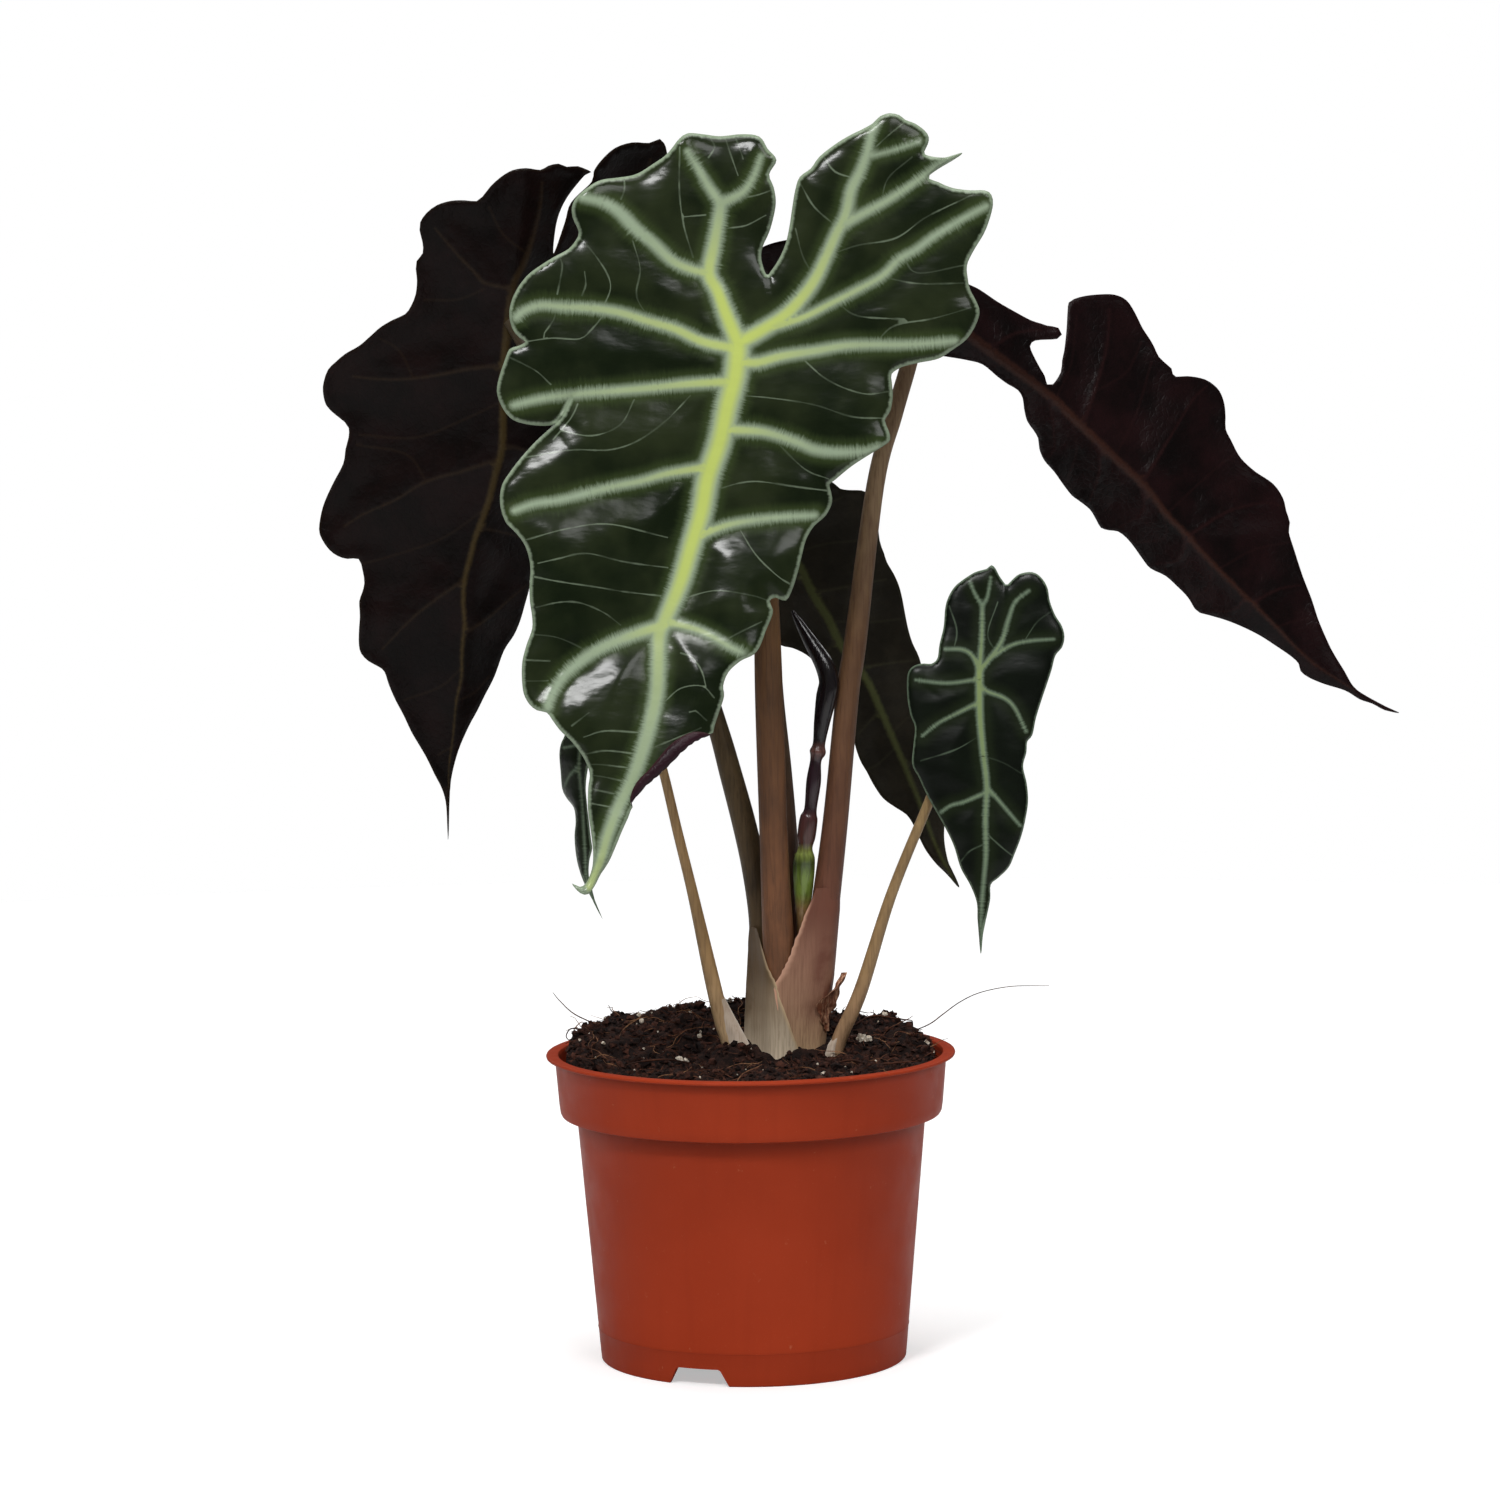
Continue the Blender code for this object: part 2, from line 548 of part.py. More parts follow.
def to_segment(point, a, b):
    """Signed distance from a point to a stretch of midrib: positive on its left hand."""
    along = b - a
    share = max(0.0, min(1.0, (point - a).dot(along) / along.length_squared))
    offset = point - (a + along * share)
    side = 1 if along.x * offset.y - along.y * offset.x > 0 else -1
    return side * offset.length


def midrib_distance(point, midrib):
    """Distance to the midrib, which is drawn on straight past the petiole into the lobes."""
    line = [Vector(spot) for spot in midrib]
    line.insert(0, line[0] + LOBE_REACH * (line[0] - line[1]).normalized())
    return min((to_segment(point, a, b) for a, b in zip(line, line[1:])), key=abs)


def inside(point, outline):
    found = False
    for a, b in zip(outline, outline[1:] + outline[:1]):
        if (a.y > point.y) != (b.y > point.y):
            if point.x < (b.x - a.x) * (point.y - a.y) / (b.y - a.y) + a.x:
                found = not found
    return found


def blade_depth(blade, point):
    base, by_x, by_z = blade["lean"]
    distance = midrib_distance(point, blade["midrib"])
    right, left = blade["folds"][0], blade["folds"][1]
    fold = right * -distance if distance < 0 else left * distance
    return base + by_x * point.x + by_z * (point.y - 200) + fold


def blade_mesh(name, blade):
    """The outline is filled with even triangles, and each point is then given its depth."""
    outline = closed_curve(blade["outline"], BLADE_SPACING)
    low_x = min(point.x for point in outline)
    low_z = min(point.y for point in outline)
    wide = max(point.x for point in outline) - low_x
    high = max(point.y for point in outline) - low_z
    points = list(outline)
    row_height = BLADE_SPACING * math.sqrt(0.75)
    for row in range(int(high / row_height) + 1):
        for column in range(int(wide / BLADE_SPACING) + 2):
            point = Vector((low_x + (column - 0.5 * (row % 2)) * BLADE_SPACING, low_z + row * row_height))
            nearest = min((point - edge).length for edge in outline)
            if nearest > 0.55 * BLADE_SPACING and inside(point, outline):
                points.append(point)
    loop = [list(range(len(outline)))]
    spots, _, faces, _, _, _ = delaunay_2d_cdt(points, [], loop, 1, 1e-4)
    shape = bmesh.new()
    verts = [shape.verts.new(Vector((p.x, blade_depth(blade, p), p.y)) * MM) for p in spots]
    for face in faces:
        shape.faces.new([verts[index] for index in face])
    return finished_sheet(name, shape)


def make_blades():
    for name, blade in BLADES.items():
        material = leaf_purple if name in PURPLE_BLADES else leaf_green
        thicken(add_part(name, blade_mesh(name, blade), material), BLADE_THICKNESS, 0.0)


make_pot()
make_corm()
make_roots()
make_soil()
make_stems()
make_sheaths()
make_blades()
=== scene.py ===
# %% [markdown]
# # A potted alocasia
# An arrow-leaved alocasia stands in a plain 12 cm nursery pot. Six stalks rise from a corm that is buried
# in peat, each with one blade, and a new leaf is still rolled up between them. The imported CAD model gives
# every size and place, so it is loaded first.

# %% Load the fixed frame
import math

import bmesh
import bpy
import numpy as np
from mathutils import Matrix, Vector, noise
from mathutils.geometry import delaunay_2d_cdt


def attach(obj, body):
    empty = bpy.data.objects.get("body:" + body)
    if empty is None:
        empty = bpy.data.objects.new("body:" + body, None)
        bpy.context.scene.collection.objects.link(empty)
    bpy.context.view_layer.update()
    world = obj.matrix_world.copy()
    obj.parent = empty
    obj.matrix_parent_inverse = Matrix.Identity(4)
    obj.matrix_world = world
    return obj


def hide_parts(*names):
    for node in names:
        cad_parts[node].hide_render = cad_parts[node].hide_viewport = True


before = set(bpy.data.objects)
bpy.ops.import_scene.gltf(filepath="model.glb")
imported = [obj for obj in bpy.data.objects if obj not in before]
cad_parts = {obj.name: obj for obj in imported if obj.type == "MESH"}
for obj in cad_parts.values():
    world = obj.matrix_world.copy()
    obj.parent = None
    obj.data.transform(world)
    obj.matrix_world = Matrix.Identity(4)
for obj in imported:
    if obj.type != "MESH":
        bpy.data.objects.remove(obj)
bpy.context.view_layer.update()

MM = 0.001

# %% [markdown]
# ## Camera, floor and light
# A long lens a metre and a half away sees the plant almost from its own height, so the leaves keep their
# proportions. The world is plain white to the eye but gives little light, because a white world all round
# would lay a grey haze over leaves this dark. Large soft lamps do the lighting instead.

# %% Camera
def new_object(name, data):
    thing = bpy.data.objects.new(name, data)
    bpy.context.scene.collection.objects.link(thing)
    return thing


camera_data = bpy.data.cameras.new("camera")
camera_data.lens = 120.13
camera_data.sensor_width = 36.0
camera = new_object("camera", camera_data)
CAMERA_SPOT = Matrix.Translation((0.0008, -1.4547, 0.3124))
TILT = math.pi / 2 - 0.0914
ROLL = -0.0112
camera.matrix_world = CAMERA_SPOT @ Matrix.Rotation(TILT, 4, "X") @ Matrix.Rotation(ROLL, 4, "Z")
bpy.context.scene.camera = camera
bpy.context.scene.view_settings.view_transform = "Standard"
bpy.context.scene.view_settings.look = "None"
print("camera height in mm:", round(camera.matrix_world.translation.z / MM))


# %% Shader helpers
def add_node(tree, kind, inputs=None, **settings):
    """A node whose inputs are numbers, colours or the sockets of other nodes."""
    node = tree.nodes.new(kind)
    for key, value in settings.items():
        setattr(node, key, value)
    for key, value in (inputs or {}).items():
        if isinstance(value, bpy.types.NodeSocket):
            tree.links.new(value, node.inputs[key])
        else:
            node.inputs[key].default_value = value
    return node


def as_colour(value):
    """Turns a colour of 0 to 255, as on a colour card, into the linear light that a shader works in."""
    if not isinstance(value, tuple) or len(value) != 3:
        return value
    card = (part / 255 for part in value)
    return (*((c / 12.92 if c <= 0.04045 else ((c + 0.055) / 1.055) ** 2.4) for c in card), 1.0)


def start_material(name, roughness, specular=0.5, **sockets):
    """A new material, its node tree and its main shader, with the values that hold all over the surface."""
    material = bpy.data.materials.new(name)
    material.use_nodes = True
    shader = material.node_tree.nodes["Principled BSDF"]
    shader.inputs["Roughness"].default_value = roughness
    shader.inputs["Specular IOR Level"].default_value = specular
    for key, value in sockets.items():
        shader.inputs[key.replace("_", " ")].default_value = value
    return material, material.node_tree, shader


def place(tree, stretch=(1, 1, 1)):
    """Object coordinates in millimetres, stretched along the axes."""
    spot = add_node(tree, "ShaderNodeTexCoord").outputs["Object"]
    scale = tuple(value / MM for value in stretch)
    return add_node(tree, "ShaderNodeMapping", {"Vector": spot, "Scale": scale}).outputs["Vector"]


def grain(tree, where, scale, detail=3.0, roughness=0.55):
    """Cloudy noise round 0.5; scale is the number of clouds to a millimetre."""
    settings = {"Vector": where, "Scale": scale, "Detail": detail, "Roughness": roughness}
    return add_node(tree, "ShaderNodeTexNoise", settings).outputs["Fac"]


def step(tree, value, low, high, start=0.0, end=1.0):
    """Goes smoothly from start to end while value goes from low to high."""
    settings = {"Value": value, "From Min": low, "From Max": high, "To Min": start, "To Max": end}
    return add_node(tree, "ShaderNodeMapRange", settings, interpolation_type="SMOOTHSTEP").outputs["Result"]


def calc(tree, operation, first, second=0.0, third=0.0):
    return add_node(tree, "ShaderNodeMath", {0: first, 1: second, 2: third}, operation=operation).outputs[0]


def mix(tree, share, first, second):
    """A share of the second colour over the first."""
    inputs = {0: share, 6: as_colour(first), 7: as_colour(second)}
    return add_node(tree, "ShaderNodeMix", inputs, data_type="RGBA").outputs[2]


def attribute(tree, name):
    """A number that each point of the mesh carries."""
    return add_node(tree, "ShaderNodeAttribute", attribute_name=name).outputs["Fac"]


def add_bump(tree, shader, height, distance, strength=1.0):
    """Raises the surface where height is high; distance is in mm."""
    settings = {"Height": height, "Distance": distance * MM, "Strength": strength}
    bump = add_node(tree, "ShaderNodeBump", settings)
    tree.links.new(bump.outputs["Normal"], shader.inputs["Normal"])


def set_colour(tree, shader, colour):
    tree.links.new(colour, shader.inputs["Base Color"])


# %% Floor and lamps
def add_lamp(name, place_m, size, watts, aim=(0.0, 0.0, 0.18)):
    light = bpy.data.lights.new(name, "AREA")
    light.shape = "RECTANGLE"
    light.size, light.size_y = size
    light.energy = watts
    lamp = new_object(name, light)
    lamp.location = place_m
    lamp.rotation_euler = (Vector(aim) - Vector(place_m)).to_track_quat("-Z", "Y").to_euler()
    return lamp


FLOOR_REACH = 1.2
FLOOR_SIDES = 64
FLOOR_GLOW = 0.45
WORLD_LIGHT = 0.12


def make_floor():
    """A round pale floor. Its glow is for the eye alone, and lights nothing."""
    floor_mesh = bpy.data.meshes.new("floor")
    turns = np.linspace(0, math.tau, FLOOR_SIDES + 1)[:-1]
    edge = [(FLOOR_REACH * math.cos(a), FLOOR_REACH * math.sin(a), 0) for a in turns]
    floor_mesh.from_pydata(edge, [], [tuple(range(FLOOR_SIDES))])
    floor = new_object("floor", floor_mesh)
    material, tree, shader = start_material("pale_floor", 0.6, 0.1)
    cloud = step(tree, grain(tree, place(tree), 0.004, 2.0), 0.2, 0.8)
    set_colour(tree, shader, mix(tree, cloud, (214, 214, 214), (222, 222, 222)))
    seen = add_node(tree, "ShaderNodeLightPath").outputs["Is Camera Ray"]
    shader.inputs["Emission Color"].default_value = (1, 1, 1, 1)
    tree.links.new(calc(tree, "MULTIPLY", seen, FLOOR_GLOW), shader.inputs["Emission Strength"])
    floor_mesh.materials.append(material)


make_floor()
lamps = [
    add_lamp("key_lamp", (-0.5, -1.3, 1.6), (0.34, 0.34), 20),
    add_lamp("fill_lamp", (0.6, -1.5, 1.6), (0.7, 0.7), 12),
    add_lamp("top_lamp", (0.0, 0.1, 1.9), (1.4, 1.4), 24),
    add_lamp("back_left_lamp", (-1.1, 1.6, 1.1), (0.8, 0.8), 5),
    add_lamp("back_right_lamp", (1.1, 1.6, 1.1), (0.8, 0.8), 5),
]
print("lamps:", [lamp.name for lamp in lamps])

# %% World
world = bpy.data.worlds.new("studio")
bpy.context.scene.world = world
world.use_nodes = True
sky = world.node_tree
sky.nodes.clear()
seen = add_node(sky, "ShaderNodeBackground", {"Color": (1, 1, 1, 1), "Strength": 1.0}).outputs[0]
given = add_node(sky, "ShaderNodeBackground", {"Color": (1, 1, 1, 1), "Strength": WORLD_LIGHT}).outputs[0]
by_eye = add_node(sky, "ShaderNodeLightPath").outputs["Is Camera Ray"]
both = add_node(sky, "ShaderNodeMixShader", {0: by_eye, 1: given, 2: seen}).outputs[0]
add_node(sky, "ShaderNodeOutputWorld", {"Surface": both})


# %% [markdown]
# ## Geometry Nodes helpers
# The pot is a turned shape, the stalks follow paths, and crumbs, white grains and fibres repeat over the
# peat. Each of them gets a small node tree with named sizes. A tree's result is then made a plain mesh,
# because only plain meshes are exported.

# %% Node tree helpers
def new_tree(name, sizes):
    """A geometry tree with a Geometry input and named inputs, given as (name, kind, value)."""
    tree = bpy.data.node_groups.new(name, "GeometryNodeTree")
    tree.interface.new_socket("Geometry", in_out="INPUT", socket_type="NodeSocketGeometry")
    for label, kind, value in sizes:
        socket = tree.interface.new_socket(label, in_out="INPUT", socket_type="NodeSocket" + kind)
        if value is not None:
            socket.default_value = value
    tree.interface.new_socket("Geometry", in_out="OUTPUT", socket_type="NodeSocketGeometry")
    return tree, tree.nodes.new("NodeGroupInput").outputs


def end_tree(tree, geometry, material, smooth=True):
    """Makes instances real, smooths or facets the faces, and gives them their finish."""
    real = add_node(tree, "GeometryNodeRealizeInstances", {"Geometry": geometry}).outputs[0]
    settings = {"Geometry": real, "Shade Smooth": smooth}
    shaded = add_node(tree, "GeometryNodeSetShadeSmooth", settings).outputs[0]
    painted = add_node(tree, "GeometryNodeSetMaterial", {"Geometry": shaded, "Material": material}).outputs[0]
    add_node(tree, "NodeGroupOutput", {"Geometry": painted})


def plain_mesh(thing):
    """What an object looks like with its modifiers, as a new mesh; the object itself goes."""
    bpy.context.view_layer.update()
    evaluated = thing.evaluated_get(bpy.context.evaluated_depsgraph_get())
    mesh = bpy.data.meshes.new_from_object(evaluated)
    bpy.data.objects.remove(thing)
    return mesh


def run_tree(name, source, tree, values):
    """Runs a tree on a mesh or curve, and returns the result as a new plain mesh."""
    thing = new_object(name + "_source", source)
    modifier = thing.modifiers.new("tree", "NODES")
    modifier.node_group = tree
    for item in tree.interface.items_tree:
        if item.in_out == "INPUT" and item.name in values:
            modifier[item.identifier] = values[item.name]
    mesh = plain_mesh(thing)
    mesh.name = name
    return mesh


def finished_mesh(shape, name, finish=None):
    """A mesh made from a bmesh, with its finish."""
    mesh = bpy.data.meshes.new(name)
    shape.to_mesh(mesh)
    shape.free()
    if finish:
        mesh.materials.append(finish)
    return mesh


def add_piece(name, mesh, slot, *nodes, sharp_degrees=None):
    """Puts a finished mesh into the scene as a piece that rides on the plant's one body."""
    piece = new_object(name, mesh)
    if sharp_degrees:
        mesh.shade_smooth()
        mesh.set_sharp_from_angle(angle=math.radians(sharp_degrees))
    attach(piece, "root")
    if nodes:
        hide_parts(*nodes)
    low = Vector(map(min, zip(*(v.co for v in mesh.vertices))))
    high = Vector(map(max, zip(*(v.co for v in mesh.vertices))))
    print(f"{name}: {len(mesh.polygons)} faces, size in mm", [round(v / MM, 1) for v in high - low])
    return piece


# %% [markdown]
# ## The pot
# A nursery pot is moulded in one piece: a thin rolled lip, a collar that steps out so that pots don't jam
# when they are stacked, a tapering body, and a foot ring with three notches that let water run out. A half
# profile turned round the axis gives all of it, so the tree sweeps the profile round a circle. Holes and
# notches are then cut out with Boolean, as the mould's pins do.

# %% Pot finish
# Painted shade under the collar and under the lip, and a thin darker line over the foot ring. Each band is
# given as the heights in mm where it begins, is darkest, starts to end and has ended, and then its strength.
DARK_BANDS = [
    (66.5, 72.2, 72.2, 72.8, 0.5),
    (86.8, 89.2, 89.3, 89.6, 0.5),
    (9.2, 9.6, 9.6, 10.4, 0.14),
]


# One dark band, which rises to its strength and falls off again.
def dark_band(tree, height, begins, darkest, ends, ended, strength):
    rising = step(tree, height, begins, darkest, 0.0, strength)
    return calc(tree, "MULTIPLY", rising, step(tree, height, ends, ended, 1.0, 0.0))


def upward(tree):
    """Height above the table in mm."""
    return add_node(tree, "ShaderNodeSeparateXYZ", {0: place(tree)}).outputs[2]


def make_pot_finish():
    """Satin plastic, a little cloudy, with flow marks and specks of dust, painted shade under the collar and
    the lip, and a thin darker line over the foot ring.
    """
    material, tree, shader = start_material("terracotta_plastic_finish", 0.46, 0.07)
    where = place(tree)
    cloud = step(tree, grain(tree, where, 0.02, 4.0), 0.25, 0.75)
    speckle = step(tree, grain(tree, where, 1.6, 2.0, 0.7), 0.6, 0.76)
    flow = grain(tree, place(tree, (0.25, 0.25, 0.012)), 1.0, 3.0)
    dust = step(tree, grain(tree, where, 0.35, 4.0, 0.7), 0.66, 0.74)
    colour = mix(tree, cloud, (148, 50, 24), (157, 55, 28))
    colour = mix(tree, calc(tree, "MULTIPLY", speckle, 0.22), colour, (176, 78, 48))
    colour = mix(tree, step(tree, flow, 0.45, 0.75, 0.0, 0.2), colour, (134, 44, 22))
    colour = mix(tree, calc(tree, "MULTIPLY", dust, 0.25), colour, (196, 130, 100))
    height = upward(tree)
    # Painted shade under the collar and the lip, and a thin darker line over the foot ring, mixed in as a
    # dark red-brown.
    darkening = 0.0
    for band in DARK_BANDS:
        darkening = calc(tree, "MAXIMUM", darkening, dark_band(tree, height, *band))
    set_colour(tree, shader, mix(tree, darkening, colour, (66, 18, 10)))
    rough = step(tree, grain(tree, where, 0.09, 3.0), 0.3, 0.7, 0.38, 0.5)
    tree.links.new(rough, shader.inputs["Roughness"])
    add_bump(tree, shader, grain(tree, where, 2.2, 3.0, 0.6), 0.04, 0.4)
    return material


pot_finish = make_pot_finish()

# %% Turn the profile
# Half of the wall's outline as (out, up) in mm, from the inner floor over the lip and down to the foot. The
# sweep turns it at POT_TURN from the axis.
POT_TURN = 40.0
POT_PROFILE = [
    (0, 1.4), (14.4, 1.4), (15.6, 2.2), (16.4, 5.6), (17.6, 6.6), (42.4, 6.6), (43.8, 7.8), (49.9, 72.6),
    (50.6, 73.4), (53.4, 73.5), (54.5, 74.1), (54.9, 75.6), (56.2, 89.6), (56.5, 90.3), (57.1, 90.5),
    (59.4, 90.5), (59.85, 90.3), (60, 89.95), (59.9, 89.6), (59.5, 89.4), (57.8, 89.35), (57.4, 88.9),
    (56.3, 75.6), (56.0, 73.4), (55.6, 72.6), (54.9, 72.3), (51.7, 72.0), (51.1, 71.2), (45.75, 9.9),
    (45.85, 9.6), (45.7, 9.3), (45.25, 4), (44.9, 0.3), (44.6, 0), (43.8, 0), (43.5, 0.4), (43.3, 4.6),
    (42.6, 5.3), (18.2, 5.3), (17.3, 4.6), (16.3, 0.5), (15.8, 0), (0, 0),
]


def turning_tree():
    """Sweeps a profile of (out, up) points round a circle, which closes into a turned wall."""
    sizes = [("Turning radius", "Float", 0.04), ("Steps round", "Int", 48), ("Finish", "Material", None)]
    tree, given_in = new_tree("turning", sizes)
    profile = add_node(tree, "GeometryNodeMeshToCurve", {"Mesh": given_in["Geometry"]}).outputs[0]
    radius, steps = given_in["Turning radius"], given_in["Steps round"]
    settings = {"Radius": radius, "Resolution": steps}
    circle = add_node(tree, "GeometryNodeCurvePrimitiveCircle", settings).outputs[0]
    wall = add_node(tree, "GeometryNodeCurveToMesh", {"Curve": circle, "Profile Curve": profile}).outputs[0]
    end_tree(tree, wall, given_in["Finish"])
    return tree


def profile_mesh(name, points):
    mesh = bpy.data.meshes.new(name)
    spots = [((radius - POT_TURN) * MM, -height * MM, 0) for radius, height in points]
    mesh.from_pydata(spots, [(i, i + 1) for i in range(len(spots) - 1)], [])
    return mesh


def close_poles(mesh):
    """Merges the ring that the sweep leaves on the axis into one point, and turns the faces outwards."""
    shape = bmesh.new()
    shape.from_mesh(mesh)
    bmesh.ops.remove_doubles(shape, verts=shape.verts, dist=0.01 * MM)
    bmesh.ops.recalc_face_normals(shape, faces=shape.faces)
    shape.to_mesh(mesh)
    shape.free()
    return mesh


turned_values = {"Turning radius": POT_TURN * MM, "Steps round": 160, "Finish": pot_finish}
pot_outline = profile_mesh("pot_profile", POT_PROFILE)
pot_mesh = close_poles(run_tree("pot_wall", pot_outline, turning_tree(), turned_values))
print("turned pot:", len(pot_mesh.polygons), "faces")


# %% Cut the notches and the drain holes
FIRST_NOTCH = 249
NOTCH_START, NOTCH_DEPTH = 38, 12
HOLE_RING, HOLE_RADIUS = 30, 4


def prism(name, outline, direction):
    """A closed prism: the outline's points, and the same points moved by direction."""
    count = len(outline)
    points = [Vector(p) * MM for p in outline]
    points += [p + Vector(direction) * MM for p in points[:count]]
    faces = [tuple(range(count))[::-1], tuple(range(count, 2 * count))]
    faces += [(i, (i + 1) % count, count + (i + 1) % count, count + i) for i in range(count)]
    mesh = bpy.data.meshes.new(name)
    mesh.from_pydata(points, [], faces)
    return new_object(name, close_poles(mesh))


def notch(index):
    """A trapezoid through the foot ring, wider at the foot: three of them, a third of a turn apart."""
    angle = math.radians(FIRST_NOTCH + 120 * index)
    out = Vector((math.cos(angle), math.sin(angle), 0))
    aside = Vector((-out.y, out.x, 0))
    corners = [(-6.1, 5.0), (-6.8, 4.6), (-10.2, -2), (10.2, -2), (6.8, 4.6), (6.1, 5.0)]
    face = [out * NOTCH_START + aside * across + Vector((0, 0, up)) for across, up in corners]
    return prism(f"notch_{index}", face, out * NOTCH_DEPTH)


def drain_hole(index):
    """One of six round holes in the pot's floor."""
    angle = index * math.tau / 6 + 0.37
    centre = Vector((math.cos(angle), math.sin(angle), 0)) * HOLE_RING
    turns = np.linspace(0, math.tau, 29)[:-1]
    ring = [centre + Vector((HOLE_RADIUS * math.cos(a), HOLE_RADIUS * math.sin(a), 2)) for a in turns]
    return prism(f"drain_hole_{index}", ring, (0, 0, 8))


def cut(mesh, cutters):
    target = new_object("cut_target", mesh)
    for cutter in cutters:
        boolean = target.modifiers.new(cutter.name, "BOOLEAN")
        boolean.object = cutter
        boolean.operation = "DIFFERENCE"
        boolean.solver = "EXACT"
    result = plain_mesh(target)
    for cutter in cutters:
        bpy.data.objects.remove(cutter)
    return result


pot_mesh = cut(pot_mesh, [notch(i) for i in range(3)] + [drain_hole(i) for i in range(6)])
pot_mesh.name = "pot_visual"
add_piece("pot_moulding", pot_mesh, "terracotta_plastic", "pot", sharp_degrees=38)


# %% [markdown]
# ## Peat
# Potting peat is a dark, crumbly mix. It is pressed low behind the front lip and heaped behind the stems.
# A turned mesh gives the body, and the top is raised by the heap's rule and by noise for the lumps.

# %% Peat finish
def make_peat_finish(name, dark, light, seed):
    material, tree, shader = start_material(name, 0.9, 0.15)
    where = add_node(tree, "ShaderNodeVectorMath", {0: place(tree), 1: (seed, 3 * seed, 0)}).outputs[0]
    lumps = step(tree, grain(tree, where, 0.28, 5.0, 0.65), 0.42, 0.68)
    flecks = step(tree, grain(tree, where, 1.9, 3.0, 0.7), 0.6, 0.72)
    colour = mix(tree, lumps, dark, light)
    colour = mix(tree, calc(tree, "MULTIPLY", flecks, 0.4), colour, (98, 64, 48))
    set_colour(tree, shader, colour)
    add_bump(tree, shader, grain(tree, where, 1.2, 5.0, 0.7), 0.6, 0.9)
    return material


peat_finish = make_peat_finish("peat_finish", (22, 13, 11), (52, 33, 27), 0.0)
crumb_finish = make_peat_finish("crumb_finish", (20, 11, 9), (78, 47, 37), 7.0)


# %% Raise the peat
PEAT_LEVEL = 86.6
PEAT_HEAP = 7.6
WALL_RADIUS = 55.6


def soil_top(x, y):
    """The peat's height: low inside the front lip, heaped behind the stems, with small lumps."""
    radius = math.hypot(x, y)
    rise = min(max((y + 24) / 42, 0), 1)
    rise = rise * rise * (3 - 2 * rise)
    rim = min(max((WALL_RADIUS - radius) / 7, 0), 1)
    lumps = 0.7 * math.sin(0.31 * x + 1.1) * math.cos(0.27 * y) + 0.4 * math.sin(0.6 * x - 0.5 * y)
    heap = (PEAT_HEAP - 0.03 * max(x, 0)) * rise + lumps
    return PEAT_LEVEL + 2.0 * min(1, rim * 3) + heap * (0.35 + 0.65 * rim)


def clods(x, y):
    """Small lumps of peat, from about 12 mm down to 1 mm."""
    rough = 0.0
    for size, height in ((12, 2.0), (5, 2.1), (2.4, 1.3), (1.2, 0.6)):
        rough += height * noise.noise(Vector((x / size, y / size, 3.1 * size)))
    return rough * min(1.0, max(0.0, (55.0 - math.hypot(x, y)) / 3 + 0.25))


def soil_mesh():
    """Rings of points from the middle out over the top, then down the side and in to the foot."""
    shape = bmesh.new()
    columns = 210
    profile = [(radius, None) for radius in np.linspace(1.2, 54.0, 44)]
    profile += [(54.4, 85.6), (54.4, 76), (53.2, 74.4), (49.5, 73.8), (43.3, 7.3)]
    rings = []
    for radius, z in profile:
        ring = []
        for column in range(columns):
            angle = column * math.tau / columns
            x, y = radius * math.cos(angle), radius * math.sin(angle)
            up = soil_top(x, y) + clods(x, y) if z is None else z
            ring.append(shape.verts.new(Vector((x, y, up)) * MM))
        rings.append(ring)
    for inner, outer in zip(rings, rings[1:]):
        for a in range(columns):
            b = (a + 1) % columns
            shape.faces.new((inner[a], outer[a], outer[b], inner[b]))
    crown = shape.verts.new(Vector((0, 0, soil_top(0, 0) + clods(0, 0))) * MM)
    for a in range(columns):
        shape.faces.new((crown, rings[0][a], rings[0][(a + 1) % columns]))
    shape.faces.new(list(reversed(rings[-1])))
    shape.normal_update()
    return finished_mesh(shape, "peat_bed", peat_finish)


peat_bed = add_piece("peat_bed", soil_mesh(), "peat", "soil", sharp_degrees=60)

# %% [markdown]
# ## Crumbs, white grains and fibres
# What makes peat look real lies loose on top: crumbs, white perlite grains and plant fibres. They repeat
# hundreds of times, so Geometry Nodes strews them: points are spread over the top with a fixed seed, and
# each point gets one of a few small shapes, turned and sized at random.

# %% Strewing tree
CORM_SPOT = Vector((10.0, 0.8)) * MM
STREWN_RADIUS = 54.6 * MM
LOWEST_TOP = 80 * MM


